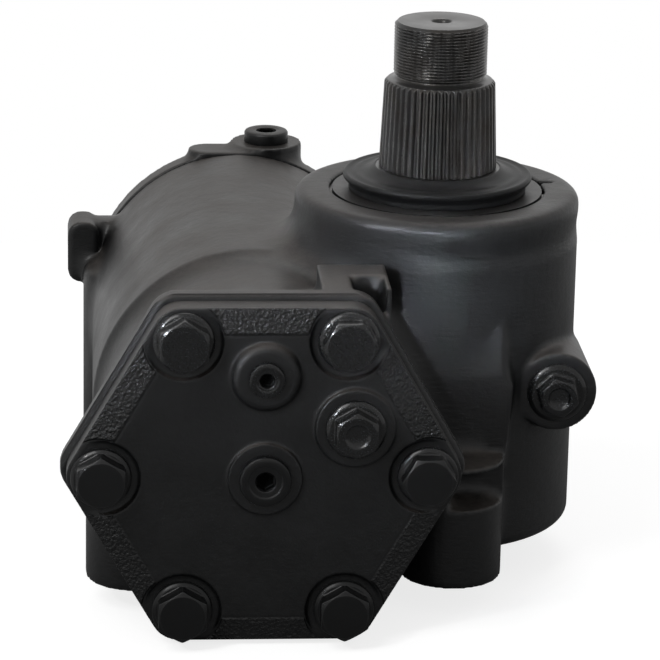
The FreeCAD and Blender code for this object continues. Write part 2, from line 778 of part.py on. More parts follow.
def cylinderCover():
    """The hexagonal cover with its bevelled rim, spot faces and three bosses."""
    body = newBody("cylinder_cover", barrelPlace)
    outer = roundedHexagon(sizes.coverApothem, sizes.hexCorner)
    extrude(body, "Plate", "XZ", coverEdgeY, sizes.coverEdge, [outer])
    loft(body, "Bevel", "XZ", [
        (coverEdgeY, [outer]),
        (coverFront, [roundedHexagon(sizes.coverApothem - sizes.bevelWidth, sizes.hexCorner / 4)])])
    extrude(body, "Spigot", "XZ", jointY, sizes.coverSpigot, [(0, 0, sizes.boreRadius - sizes.runGap)])
    extrude(body, "BleedBoss", "XZ", coverFront - sizes.bleedBossHeight, sizes.bleedBossHeight,
            [(0, sizes.bleedHeight, sizes.bleedBossRadius)])
    soften(body, "BleedDome", circleTest(sizes.bleedBossRadius, coverFront - sizes.bleedBossHeight, "y"),
           sizes.bleedDomeRound)
    extrude(body, "CentreBoss", "XZ", coverFront - sizes.centreBossHeight, sizes.centreBossHeight,
            [(0, 0, sizes.centreBossRadius)])
    extrude(body, "LimiterBoss", "XZ", coverFront - sizes.limiterBossHeight, sizes.limiterBossHeight,
            [(sizes.limiterPlaceX, sizes.limiterPlaceZ, sizes.limiterBossRadius)])
    extrude(body, "SpotFaces", "XZ", coverFront, sizes.spotDepth,
            ringOf(0, 0, sizes.coverBoltCircle, coverBoltAngles, sizes.spotRadius), cut=True)
    extrude(body, "BoltHoles", "XZ", coverSeat, jointY - coverSeat,
            ringOf(0, 0, sizes.coverBoltCircle, coverBoltAngles, sizes.coverBoltRadius + sizes.boltGap),
            cut=True)
    extrude(body, "CentreHole", "XZ", coverFront - sizes.centreBossHeight,
            sizes.plugDepth + sizes.centreBossHeight, [(0, 0, sizes.centrePlugShank)], cut=True)
    extrude(body, "BleedHole", "XZ", coverFront - sizes.bleedBossHeight,
            sizes.plugDepth + sizes.bleedBossHeight, [(0, sizes.bleedHeight, sizes.bleedShank)], cut=True)
    extrude(body, "LimiterHole", "XZ", coverFront - sizes.limiterBossHeight,
            jointY + sizes.coverSpigot - coverFront + sizes.limiterBossHeight,
            [(sizes.limiterPlaceX, sizes.limiterPlaceZ, sizes.limiterShank)], cut=True)
    extrude(body, "SealGroove", "XZ", jointY - sizes.coverSealDepth, sizes.coverSealDepth,
            [(0, 0, sizes.coverSealInner + sizes.coverSealWidth), (0, 0, sizes.coverSealInner)], cut=True)


def screwRow(label, place, plane, seat, head, headShapes, flange, flangeShapes, shank, shankShapes):
    """Bolts drawn together: heads before the seat, flanges on it and shanks behind it."""
    body = newBody(label, place)
    if flangeShapes:
        extrude(body, "Flanges", plane, seat - flange, flange, flangeShapes)
    extrude(body, "Shanks", plane, seat, shank, shankShapes)
    extrude(body, "Heads", plane, seat - flange - head, head, headShapes)
    return body


def plug(label, x, z, seat, collar, height, shank, depth, socket):
    """A screwed plug with a round collar and a hexagon socket, facing -Y."""
    body = newBody(label, barrelPlace)
    extrude(body, "Collar", "XZ", seat - height, height, [(x, z, collar)])
    extrude(body, "Shank", "XZ", seat, depth, [(x, z, shank)])
    extrude(body, "Socket", "XZ", seat - height, sizes.socketDepth, [hexagon(x, z, socket)], cut=True)


def coverFittings():
    """Bolts, seal, plugs and the limiter adjuster of the cylinder cover, and the side valve plug."""
    heads = []
    for angle in coverBoltAngles:
        across, up = polar(sizes.coverBoltCircle, math.radians(angle))
        heads.append(hexagon(across, up, sizes.coverBoltHex, 0.0 if angle in flatTopBolts else 30.0))
    screwRow("cover_bolts", barrelPlace, "XZ", coverSeat, sizes.coverBoltHead, heads,
             sizes.boltFlangeThickness,
             ringOf(0, 0, sizes.coverBoltCircle, coverBoltAngles, sizes.coverBoltFlange),
             flangeBack - coverSeat,
             ringOf(0, 0, sizes.coverBoltCircle, coverBoltAngles, sizes.coverBoltRadius))
    turned("cover_seal_ring", "Y", barrelPlace, box(
        sizes.coverSealInner, jointY - sizes.coverSealDepth,
        sizes.coverSealInner + sizes.coverSealWidth, jointY))
    plug("centre_plug", 0, 0, coverFront - sizes.centreBossHeight, sizes.centrePlugCollar,
         sizes.centrePlugHeight, sizes.centrePlugShank, sizes.plugDepth, sizes.centrePlugSocket)
    plug("bleed_plug", 0, sizes.bleedHeight, coverFront - sizes.bleedBossHeight, sizes.bleedCollar,
         sizes.bleedPlugHeight, sizes.bleedShank, sizes.plugDepth, sizes.bleedSocket)
    spot = (sizes.limiterPlaceX, sizes.limiterPlaceZ)
    seat = coverFront - sizes.limiterBossHeight
    limiter = screwRow("limiter_adjuster", barrelPlace, "XZ", seat, sizes.limiterHexHeight,
                       [hexagon(*spot, sizes.limiterHex, limiterTurn)], sizes.boltFlangeThickness,
                       [spot + (sizes.limiterFlange,)], jointY - seat, [spot + (sizes.limiterShank,)])
    extrude(limiter, "Pin", "XZ", jointY, sizes.limiterStop, [spot + (sizes.limiterPinRadius,)])
    spot = (sizes.centreDistance + sizes.sideBossOut, sizes.sideBossHeight)
    screwRow("side_valve_plug", barrelPlace, "XZ", shaftY - sizes.sideBossFront, sizes.sidePlugHexHeight,
             [hexagon(*spot, sizes.sidePlugHex, 0.0)], sizes.boltFlangeThickness,
             [spot + (sizes.sidePlugFlange,)], sizes.sidePlugDepth, [spot + (sizes.sidePlugShank,)])


def sideCover():
    """The cover under the tower with its screws, seal, adjusting screw and lock nut."""
    bottom = -sizes.towerBottom
    seat = bottom + sizes.sideCoverThickness
    hubEnd = bottom - sizes.sideCoverHubHeight
    sealTop = seat + sizes.sideSealWidth + sizes.sideSealDepth
    spigotTop = -sizes.cavityFloor - sizes.bearingShelf
    bearingFloor = spigotTop - sizes.lowerBearingWidth - sizes.socketDepth
    cover = turned("side_cover", "Z", towerPlace, [
        (sizes.adjusterRadius, hubEnd), (sizes.sideCoverHub, hubEnd), (sizes.sideCoverHub, bottom),
        (sizes.sideCoverRadius, bottom), (sizes.sideCoverRadius, seat), (sizes.sideCoverSpigot, seat),
        (sizes.sideCoverSpigot, sealTop - sizes.sideSealWidth),
        (sizes.sideCoverSpigot - sizes.sideSealDepth, sealTop - sizes.sideSealWidth),
        (sizes.sideCoverSpigot - sizes.sideSealDepth, sealTop), (sizes.sideCoverSpigot, sealTop),
        (sizes.sideCoverSpigot, spigotTop), (sizes.lowerBearingOuter, spigotTop),
        (sizes.lowerBearingOuter, bearingFloor), (sizes.adjusterRadius, bearingFloor)])
    extrude(cover, "ScrewHoles", "XY", bottom, sizes.sideCoverThickness,
            ringOf(0, 0, sizes.sideScrewCircle, sideScrewAngles, sizes.sideScrewRadius + sizes.freeGap),
            cut=True)
    extrude(cover, "ScrewSeats", "XY", bottom, sizes.sideScrewHeadHeight,
            ringOf(0, 0, sizes.sideScrewCircle, sideScrewAngles, sizes.sideScrewHead + sizes.freeGap / 2),
            cut=True)
    turned("side_cover_seal", "Z", towerPlace, box(
        sizes.sideCoverSpigot - sizes.sideSealDepth, sealTop - sizes.sideSealWidth,
        sizes.sideCoverSpigot, sealTop))
    screws = screwRow("side_cover_screws", towerPlace, "XY", bottom + sizes.sideScrewHeadHeight,
                      sizes.sideScrewHeadHeight,
                      ringOf(0, 0, sizes.sideScrewCircle, sideScrewAngles, sizes.sideScrewHead), 0.0, [],
                      sizes.sideScrewLength,
                      ringOf(0, 0, sizes.sideScrewCircle, sideScrewAngles, sizes.sideScrewRadius))
    sockets = []
    for x, y, radius in ringOf(0, 0, sizes.sideScrewCircle, sideScrewAngles, 0.0):
        sockets.append(hexagon(x, y, sizes.sideScrewSocket))
    extrude(screws, "Sockets", "XY", bottom, sizes.socketDepth, sockets, cut=True)

    headTop = -sizes.lowerJournalEnd + sizes.headPocketDepth - sizes.freeGap
    neckTop = headTop - sizes.adjusterHeadHeight
    adjuster = turned("adjusting_screw", "Z", towerPlace, [
        (0, -sizes.adjusterEnd), (sizes.adjusterRadius, -sizes.adjusterEnd),
        (sizes.adjusterRadius, bearingFloor), (sizes.adjusterNeck, bearingFloor),
        (sizes.adjusterNeck, neckTop), (sizes.adjusterHead, neckTop), (sizes.adjusterHead, headTop),
        (0, headTop)])
    extrude(adjuster, "Socket", "XY", -sizes.adjusterEnd, sizes.adjusterSocketDepth,
            [hexagon(0, 0, sizes.adjusterSocket)], cut=True)
    nut = newBody("adjuster_lock_nut", towerPlace)
    extrude(nut, "Nut", "XY", hubEnd - sizes.lockNutHeight, sizes.lockNutHeight,
            [hexagon(0, 0, sizes.lockNutHex), (0, 0, sizes.adjusterRadius)])
    turned("lower_needle_bearing", "Z", towerPlace, box(
        sizes.lowerJournalRadius + sizes.runGap, bearingFloor + sizes.bearingShelf,
        sizes.lowerBearingOuter, bearingFloor + sizes.bearingShelf + sizes.lowerBearingWidth))
    retainerTop = neckTop - sizes.freeGap
    turned("shaft_retainer", "Z", towerPlace, box(
        sizes.adjusterNeck + sizes.freeGap, retainerTop - sizes.retainerThickness,
        sizes.headPocketRadius, retainerTop))


def towerFittings():
    """Bearing cover, snap ring, bearing and seal in the top of the tower, and the dust boot."""
    shelf = sizes.journalRadius + sizes.bearingShelf
    inner = sizes.journalRadius + sizes.runGap
    shelfBottom = sizes.bearingCoverBottom + sizes.upperBearingWidth + sizes.bearingShelf
    shoulder = snapRingZ - sizes.runGap
    turned("bearing_cover", "Z", towerPlace, [
        (sizes.upperBearingOuter, sizes.bearingCoverBottom),
        (sizes.cavityRadius - sizes.runGap, sizes.bearingCoverBottom),
        (sizes.cavityRadius - sizes.runGap, shoulder), (sizes.bearingCoverNeck, shoulder),
        (sizes.bearingCoverNeck, sizes.bearingCoverTop), (sizes.shaftSealOuter, sizes.bearingCoverTop),
        (sizes.shaftSealOuter, sizes.shaftSealPlace), (shelf, sizes.shaftSealPlace),
        (shelf, shelfBottom), (sizes.upperBearingOuter, shelfBottom)])
    turned("upper_needle_bearing", "Z", towerPlace, box(
        inner, shelfBottom - sizes.upperBearingWidth, sizes.upperBearingOuter, shelfBottom))
    turned("shaft_seal", "Z", towerPlace, box(
        inner, sizes.shaftSealPlace, sizes.shaftSealOuter, sizes.shaftSealPlace + sizes.shaftSealWidth))
    ringOuter = sizes.cavityRadius + sizes.ringGroove - sizes.freeGap
    ring = turned("snap_ring", "Z", towerPlace, box(
        ringOuter - sizes.snapRingWidth, snapRingZ, ringOuter,
        snapRingZ + sizes.snapRingThickness))
    extrude(ring, "Gap", "XY", snapRingZ, sizes.snapRingThickness,
            [box(0, -sizes.ringGap / 2, ringOuter, sizes.ringGap / 2)], cut=True)
    boot = sizes.bearingCoverTop + sizes.freeGap
    rim = boot + sizes.bootRimHeight
    turned("dust_boot", "Z", towerPlace, [
        (sizes.journalRadius, boot), (sizes.bootBaseRadius, boot),
        (sizes.bootBaseRadius, boot + sizes.bootBaseHeight),
        (sizes.bootRimRadius, rim - sizes.bootRimBand), (sizes.bootRimRadius, rim),
        (sizes.bootRimRadius - sizes.bootRimInset, rim + sizes.bootRimRise),
        (sizes.journalRadius + sizes.bootNeckWidth, rim + sizes.bootDish),
        (sizes.journalRadius, boot + sizes.bootHeight)])


def sectorOutline():
    """Five involute teeth on one side of the hub; each flank is one arc through three points."""
    pitchRadius = valueOf(sizes.sectorPitchRadius)
    baseRadius = pitchRadius * math.cos(pressureAngle)
    turn = valueOf(sizes.rackPitch) / pitchRadius
    radii = (sizes.sectorPitchRadius - sizes.rootDepth, sizes.sectorPitchRadius * math.cos(pressureAngle),
             sizes.sectorPitchRadius, sizes.sectorPitchRadius + sizes.addendum)

    def halfAngle(radius):
        lean = math.acos(min(baseRadius / radius, 1.0))
        spread = math.tan(pressureAngle) - pressureAngle - math.tan(lean) + lean
        return turn / 4 - valueOf(sizes.flankGap) / pitchRadius + spread

    halves = [halfAngle(max(valueOf(radius), baseRadius)) for radius in radii]
    spots = [Vector(*polar(valueOf(radius), half), 0) for radius, half in zip(radii, halves)]
    flank = sizes.sectorPitchRadius * (Part.Arc(*spots[1:]).toShape().Curve.Radius / pitchRadius)
    corners = [polar(sizes.sectorHub, math.pi + turn * 3), polar(sizes.sectorHub, math.pi - turn * 3)]
    for tooth in range(sectorTeeth):
        middle = math.pi + turn * (tooth - (sectorTeeth - 1) / 2)
        corners.append(polar(radii[0], middle - halves[0]))
        corners.append(polar(radii[1], middle - halves[1]) + (flank,))
        corners.append(polar(radii[3], middle - halves[3]))
        corners.append(polar(radii[3], middle + halves[3]) + (flank,))
        corners.append(polar(radii[1], middle + halves[1]))
        corners.append(polar(radii[0], middle + halves[0]))
    return corners


def sectorShaft():
    """The output shaft: toothed sector, journals, tapered spline, thread and adjuster pocket."""
    body = newBody("sector_shaft", towerPlace)
    half = sizes.sectorWidth / 2
    foot = -sizes.lowerJournalEnd
    threadBottom = sizes.splineTop + sizes.threadRelief
    relief = sizes.threadRadius - sizes.threadRelief / 2
    tip = sizes.threadRadius - sizes.threadChamfer
    revolve(body, "Shaft", "Z", [[
        (0, foot + sizes.headPocketDepth), (sizes.headPocketRadius, foot + sizes.headPocketDepth),
        (sizes.headPocketRadius, foot), (sizes.lowerJournalRadius, foot), (sizes.lowerJournalRadius, -half),
        (sizes.sectorHub, -half), (sizes.sectorHub, half), (sizes.journalRadius, half),
        (sizes.journalRadius, sizes.splineBottom), (sizes.splineBottomRadius, sizes.splineBottom),
        (sizes.splineTopRadius, sizes.splineTop), (relief, sizes.splineTop), (relief, threadBottom),
        (sizes.threadRadius, threadBottom), (sizes.threadRadius, sizes.shaftTop - sizes.threadChamfer),
        (tip, sizes.shaftTop), (sizes.centreHole, sizes.shaftTop),
        (sizes.centreHole, sizes.shaftTop - sizes.centreHoleDepth),
        (0, sizes.shaftTop - sizes.centreHoleDepth)]])
    extrude(body, "Sector", "XY", -half, sizes.sectorWidth, [sectorOutline()])
    grooves = []
    for index, (height, radius) in enumerate(((sizes.splineBottom, sizes.splineBottomRadius),
                                              (sizes.splineTop, sizes.splineTopRadius))):
        sketch = newSketch(body, "SplineGroove%d" % index, "XY", height)
        root = radius - sizes.splineDepth
        width = radius * (math.pi / splineTeeth * splineSpace)
        outer = radius + sizes.splineReach
        drawLoop(sketch, [(root, 0), (outer, -width), (outer, width)])
        grooves.append(sketch)
    groove = body.newObject("PartDesign::SubtractiveLoft", "SplineGroove")
    groove.Profile = grooves[0]
    groove.Sections = grooves[1:]
    groove.Ruled = True
    grow(body, groove, True)
    around(body, "Z", splineTeeth, groove)


def rackPiston():
    """The piston with its rack teeth, screw bore, ring, poppet, ball train and return tube."""
    body = newBody("rack_piston", barrelPlace)
    radius = sizes.boreRadius - sizes.pistonGap
    rim = radius - sizes.pistonChamfer
    ringFront = pistonFrontY + sizes.pistonRingPlace
    ringBack = ringFront + sizes.pistonRingWidth
    ringInner = radius - sizes.pistonRingDepth
    ballBore = sizes.ballCircle + sizes.ballRadius + sizes.ballGap
    ballFront = ballZoneBack - sizes.ballZoneLength
    boreFloor = pistonFrontY + sizes.screwBoreEnd
    revolve(body, "Piston", "Y", [[
        (0, pistonFrontY), (rim, pistonFrontY), (radius, pistonFrontY + sizes.pistonChamfer),
        (radius, ringFront), (ringInner, ringFront), (ringInner, ringBack), (radius, ringBack),
        (radius, pistonBackY - sizes.pistonChamfer), (rim, pistonBackY), (sizes.screwBore, pistonBackY),
        (sizes.screwBore, ballZoneBack), (ballBore, ballZoneBack), (ballBore, ballFront),
        (sizes.screwBore, ballFront), (sizes.screwBore, boreFloor), (0, boreFloor)]])
    pitchLine = sizes.centreDistance - sizes.sectorPitchRadius
    crest = pitchLine + sizes.addendum
    root = pitchLine - sizes.rootDepth
    rackHalf = sizes.rackPitch * (sectorTeeth / 2) + sizes.rackEndSpace
    extrude(body, "RackFlat", "XY", -radius, radius * 2,
            [box(crest, shaftY - rackHalf, radius + sizes.freeGap, shaftY + rackHalf)], cut=True)
    lean = math.tan(pressureAngle)
    spaces = []
    for tooth in range(sectorTeeth):
        middle = shaftY + sizes.rackPitch * (tooth - (sectorTeeth - 1) / 2)
        wide = sizes.rackPitch / 4 + sizes.addendum * lean
        narrow = sizes.rackPitch / 4 - sizes.rootDepth * lean
        spaces.append([(root, middle - narrow), (crest, middle - wide),
                       (crest, middle + wide), (root, middle + narrow)])
    extrude(body, "RackSpaces", "XY", -radius, radius * 2, spaces, cut=True)
    extrude(body, "TubeSlot", "XY", -sizes.tubeRadius - sizes.freeGap, (sizes.tubeRadius + sizes.freeGap) * 2,
            [box(-radius - sizes.freeGap, ballFront, -sizes.ballCircle, ballZoneBack)], cut=True)
    spot = (sizes.limiterPlaceX, sizes.limiterPlaceZ)
    extrude(body, "PoppetHole", "XZ", pistonFrontY, sizes.poppetLength, [spot + (sizes.poppetRadius,)],
            cut=True)

    turned("piston_ring", "Y", barrelPlace, box(ringInner, ringFront, radius + sizes.runGap, ringBack))
    poppet = newBody("limiter_poppet", barrelPlace)
    extrude(poppet, "Valve", "XZ", pistonFrontY, sizes.poppetLength, [spot + (sizes.poppetRadius,)])
    extrude(poppet, "Stem", "XZ", pistonFrontY - sizes.poppetStemLength, sizes.poppetStemLength,
            [spot + (sizes.poppetStem,)])

    tube = newBody("ball_return_tube", barrelPlace)
    path = newSketch(tube, "Path", "XY")
    legX = -(ballBore + sizes.freeGap)
    front = ballFront + sizes.tubeRadius + sizes.freeGap
    back = ballZoneBack - sizes.tubeRadius - sizes.freeGap
    corners = [(legX, front), (-sizes.tubeReach, front), (-sizes.tubeReach, back), (legX, back)]
    spots = [Vector(valueOf(x), valueOf(y), 0) for x, y in corners]
    for index in range(3):
        path.addGeometry(Part.LineSegment(spots[index], spots[index + 1]), False)
        if index:
            path.addConstraint(Sketcher.Constraint("Coincident", index - 1, 2, index, 1))
        holdPoint(path, index, 1, corners[index])
    holdPoint(path, 2, 2, corners[3])
    ring = newSketch(tube, "Ring", "YZ", legX)
    draw(ring, [(front, 0, sizes.tubeRadius), (front, 0, sizes.tubeBore)])
    pipe = tube.newObject("PartDesign::AdditivePipe", "Tube")
    pipe.Profile = ring
    pipe.Spine = path
    pipe.Transition = "Right corner"
    grow(tube, pipe, False)

    balls = []
    lead = sizes.ballLead
    start = ballFront + sizes.ballRadius * 2
    for step in range(ballCount):
        turn = ballTurns * step / (ballCount - 1)
        x, z = polar(sizes.ballCircle, math.pi / 7 - 2 * math.pi * turn)
        ball = doc.addObject("Part::Sphere", "Ball")
        ball.setExpression("Radius", textOf(sizes.ballRadius))
        for axis, item in zip("xyz", (x, start + lead * turn, z)):
            ball.setExpression("Placement.Base." + axis, textOf(item))
        balls.append(ball)
    train = doc.addObject("Part::Compound", "ball_train")
    train.Label = "ball_train"
    train.Links = balls
    for axis, item in zip("xyz", barrelPlace):
        train.setExpression("Placement.Base." + axis, textOf(item))
    doc.recompute()
    pieces.append(train)


def wormAndValve():
    """Worm, torsion bar, rotary valve sleeve and input shaft on the cylinder axis."""
    screwRoot = sizes.ballCircle - sizes.ballRadius - sizes.ballGap
    flangeEnd = wormFlangeY + sizes.wormFlangeThickness
    stubEnd = sleeveY + sizes.wormStubLength
    sleeveBore = sizes.rotorRadius + sizes.runGap
    barStart = pistonBackY - sizes.barSetback
    barEnd = sleeveEnd + sizes.inputLength - sizes.inputStubLength - sizes.barInset
    worm = turned("worm", "Y", barrelPlace, [
        (0, wormFlangeY - sizes.wormLength), (screwRoot, wormFlangeY - sizes.wormLength),
        (screwRoot, wormFlangeY), (sizes.wormFlange, wormFlangeY), (sizes.wormFlange, flangeEnd),
        (sizes.wormJournal, flangeEnd), (sizes.wormJournal, sleeveY), (sleeveBore, sleeveY),
        (sleeveBore, stubEnd), (sizes.wormBore, stubEnd), (sizes.wormBore, barStart), (0, barStart)])
    firstPin = barStart + sizes.barHeadLength / 2
    secondPin = barEnd - sizes.barHeadLength / 2
    extrude(worm, "PinHole", "XY", -screwRoot, screwRoot * 2, [(0, firstPin, sizes.pinRadius)], cut=True)
    headRadius = sizes.wormBore - sizes.runGap
    bar = turned("torsion_bar", "Y", barrelPlace, [
        (0, barStart), (headRadius, barStart), (headRadius, barStart + sizes.barHeadLength),
        (sizes.barRadius, barStart + sizes.barHeadLength), (sizes.barRadius, barEnd - sizes.barHeadLength),
        (headRadius, barEnd - sizes.barHeadLength), (headRadius, barEnd), (0, barEnd)])
    extrude(bar, "WormPinHole", "XY", -headRadius, headRadius * 2, [(0, firstPin, sizes.pinRadius)], cut=True)
    extrude(bar, "InputPinHole", "XY", -headRadius, headRadius * 2,
            [(0, secondPin, sizes.pinRadius + sizes.pinPlay)], cut=True)
    pin = newBody("worm_pin", barrelPlace)
    pinHalf = screwRoot - sizes.ballGap
    extrude(pin, "Pin", "XY", -pinHalf, pinHalf * 2, [(0, firstPin, sizes.pinRadius)])

    outline = [(sleeveBore, sleeveY), (sizes.sleeveRadius, sleeveY)]
    seals = []
    grooveInner = sizes.sleeveRadius - sizes.sleeveSealDepth
    for step in range(sleeveSeals):
        low = sleeveY + sizes.sleeveSealPitch * (step + 1) - sizes.sleeveSealWidth / 2
        high = low + sizes.sleeveSealWidth
        outline += [(sizes.sleeveRadius, low), (grooveInner, low),
                    (grooveInner, high), (sizes.sleeveRadius, high)]
        seals.append(box(grooveInner, low, sizes.sleeveRadius + sizes.sealStandOut, high))
    turned("valve_sleeve", "Y", barrelPlace,
           outline + [(sizes.sleeveRadius, sleeveEnd), (sleeveBore, sleeveEnd)])
    turned("sleeve_seal_rings", "Y", barrelPlace, *seals)

    shoulder = sleeveEnd + sizes.inputLength - sizes.inputStubLength
    shaftEnd = sleeveEnd + sizes.inputLength
    rotorStart = stubEnd + sizes.rotorGap
    shaft = turned("input_shaft", "Y", barrelPlace, [
        (sizes.wormBore, rotorStart), (sizes.rotorRadius, rotorStart), (sizes.rotorRadius, sleeveEnd),
        (sizes.inputRadius, sleeveEnd), (sizes.inputRadius, shoulder), (sizes.inputStubRadius, shoulder),
        (sizes.inputStubRadius, shaftEnd - sizes.threadChamfer),
        (sizes.inputStubRadius - sizes.threadChamfer, shaftEnd), (0, shaftEnd),
        (0, barEnd + sizes.rotorGap), (sizes.wormBore, barEnd + sizes.rotorGap)])
    extrude(shaft, "PinHole", "XY", -sizes.inputRadius, sizes.inputRadius * 2,
            [(0, secondPin, sizes.pinRadius)], cut=True)
    pin = newBody("input_pin", barrelPlace)
    pinHalf = sizes.inputRadius - sizes.pinInset
    extrude(pin, "Pin", "XY", -pinHalf, pinHalf * 2, [(0, secondPin, sizes.pinRadius)])
    capStart = valveNoseEnd + sizes.freeGap
    turned("input_dust_cap", "Y", barrelPlace, [
        (sizes.inputRadius, capStart), (sizes.dustCapRadius, capStart),
        (sizes.dustCapRadius, capStart + sizes.dustCapLip),
        (sizes.inputRadius + sizes.dustCapLip, capStart + sizes.dustCapLength),
        (sizes.inputRadius, capStart + sizes.dustCapLength)])


def valveHousing():
    """The rear housing of the rotary valve with its ports, bolts, bearings and seals."""
    bearingBack = spigotFront + sizes.wormBearingInset + sizes.wormBearingWidth
    bodyEnd = valveFlangeBack + sizes.valveBodyLength
    sealBack = barrelEnd - sizes.valveSealPlace
    sealFront = sealBack - sizes.valveSealWidth
    spigot = sizes.boreRadius - sizes.runGap
    bearingRoom = sleeveEnd + sizes.rotorGap * 2
    inputSeat = bearingRoom + sizes.bearingShelf
    sealSeat = inputSeat + sizes.inputBearingWidth + sizes.bearingShelf
    body = turned("valve_housing", "Y", barrelPlace, [
        (sizes.wormBearingOuter, spigotFront), (spigot, spigotFront), (spigot, sealFront),
        (spigot - sizes.valveSealDepth, sealFront), (spigot - sizes.valveSealDepth, sealBack),
        (spigot, sealBack), (spigot, barrelEnd), (sizes.valveFlangeRadius, barrelEnd),
        (sizes.valveFlangeRadius, valveFlangeBack), (valveBodyRadius, valveFlangeBack),
        (valveBodyRadius, bodyEnd), (sizes.valveNoseRadius, bodyEnd),
        (sizes.valveNoseRadius, valveNoseEnd), (sizes.inputSealOuter, valveNoseEnd),
        (sizes.inputSealOuter, sealSeat), (sizes.inputBearingOuter, sealSeat),
        (sizes.inputBearingOuter, inputSeat), (sizes.inputRadius + sizes.bearingShelf, inputSeat),
        (sizes.inputRadius + sizes.bearingShelf, bearingRoom),
        (sizes.sleeveRadius + sizes.freeGap, bearingRoom), (sizes.sleeveRadius + sizes.freeGap, bearingBack),
        (sizes.wormBearingOuter, bearingBack)])
    soften(body, "BodyEdge", circleTest(valveBodyRadius, bodyEnd, "y"), sizes.valveEdgeRound)
    portY = valveFlangeBack + sizes.portBossPlace
    webHalf = sizes.portWebWidth / 2
    extrude(body, "PortWeb", "XY", sizes.valveWallRadius, sizes.portBossBottom - sizes.valveWallRadius,
            [box(sizes.portBossX - webHalf, barrelEnd, sizes.portBossX + webHalf, portY + webHalf)])
    extrude(body, "PortBoss", "XY", sizes.portBossBottom, sizes.portBossTop - sizes.portBossBottom,
            [(sizes.portBossX, portY, sizes.portBossRadius)])
    extrude(body, "Pad", "XY", sizes.padBottom, sizes.padTop - sizes.padBottom,
            [roundedBox(-sizes.padLeft, barrelEnd, sizes.portBossX, barrelEnd + sizes.padLength,
                        sizes.padRound)])
    extrude(body, "RestPad", "XY", -sizes.adjusterEnd, sizes.adjusterEnd - sizes.towerBottom,
            [box(-sizes.restPadWidth / 2, barrelEnd, sizes.restPadWidth / 2, valveFlangeBack)])
    sideY = valveFlangeBack + sizes.sidePortPlace
    ports = [(sideY, sizes.sidePortSpread), (sideY, -sizes.sidePortSpread)]
    extrude(body, "SidePorts", "YZ", sizes.valveWallRadius, sizes.sidePortReach - sizes.valveWallRadius,
            [port + (sizes.sidePortBoss,) for port in ports])
    extrude(body, "SidePortThreads", "YZ", sizes.sidePortReach - sizes.sidePortDepth, sizes.sidePortDepth,
            [port + (sizes.sidePortRadius,) for port in ports], cut=True)
    extrude(body, "SidePassages", "YZ", 0.0, sizes.sidePortReach - sizes.sidePortDepth,
            [port + (sizes.portPassage,) for port in ports], cut=True)
    extrude(body, "PortThread", "XY", sizes.portBossTop - sizes.portPlugDepth, sizes.portPlugDepth,
            [(sizes.portBossX, portY, sizes.portPlugShank)], cut=True)
    extrude(body, "BoltHoles", "XZ", barrelEnd, sizes.valveFlangeThickness,
            ringOf(0, 0, valveBoltCircle, valveBoltAngles,
                   sizes.valveBoltRadius + sizes.boltGap), cut=True)

    bolts = newBody("valve_housing_bolts", barrelPlace)
    extrude(bolts, "Shanks", "XZ", barrelEnd - sizes.valveBoltDepth,
            sizes.valveBoltDepth + sizes.valveFlangeThickness,
            ringOf(0, 0, valveBoltCircle, valveBoltAngles, sizes.valveBoltRadius))
    heads = [hexagon(x, z, sizes.valveBoltHex)
             for x, z, radius in ringOf(0, 0, valveBoltCircle, valveBoltAngles, 0.0)]
    extrude(bolts, "Heads", "XZ", valveFlangeBack, sizes.valveBoltHead, heads)
    turned("valve_housing_seal", "Y", barrelPlace, box(
        spigot - sizes.valveSealDepth, sealFront, spigot, sealBack))
    plugBody = newBody("port_plug", barrelPlace)
    extrude(plugBody, "Collar", "XY", sizes.portBossTop, sizes.portPlugHeight,
            [(sizes.portBossX, portY, sizes.portPlugCollar)])
    extrude(plugBody, "Shank", "XY", sizes.portBossTop - sizes.portPlugDepth, sizes.portPlugDepth,
            [(sizes.portBossX, portY, sizes.portPlugShank)])
    extrude(plugBody, "Socket", "XY", sizes.portBossTop + sizes.portPlugHeight - sizes.socketDepth,
            sizes.socketDepth, [hexagon(sizes.portBossX, portY, sizes.portPlugSocket)], cut=True)
    turned("worm_bearing", "Y", barrelPlace, box(
        sizes.wormJournal + sizes.runGap, spigotFront + sizes.wormBearingInset,
        sizes.wormBearingOuter, bearingBack))
    turned("input_bearing", "Y", barrelPlace, box(
        sizes.inputRadius + sizes.runGap, inputSeat, sizes.inputBearingOuter,
        inputSeat + sizes.inputBearingWidth))
    turned("input_seal", "Y", barrelPlace, box(
        sizes.inputRadius + sizes.runGap, sealSeat, sizes.inputSealOuter, sealSeat + sizes.inputSealWidth))


gearHousing()
cylinderCover()
coverFittings()
sideCover()
towerFittings()
sectorShaft()
rackPiston()
wormAndValve()
valveHousing()

doc.recompute()
for item in doc.Objects:
    if "Invalid" in item.State or "Error" in item.State:
        raise RuntimeError("%s is in state %s" % (item.Label, item.State))
os.makedirs("parts", exist_ok=True)
for piece in pieces:
    shape = piece.Shape
    if shape.isNull() or not shape.isValid():
        raise RuntimeError("%s has no sound shape" % piece.Label)
    shape.exportStep("parts/%s.step" % piece.Label)
    print("%-22s solids %2d volume %9.0f mm3" % (piece.Label, len(shape.Solids), shape.Volume))
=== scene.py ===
import math

import bmesh
import bpy
import numpy as np
from mathutils import Matrix, Vector


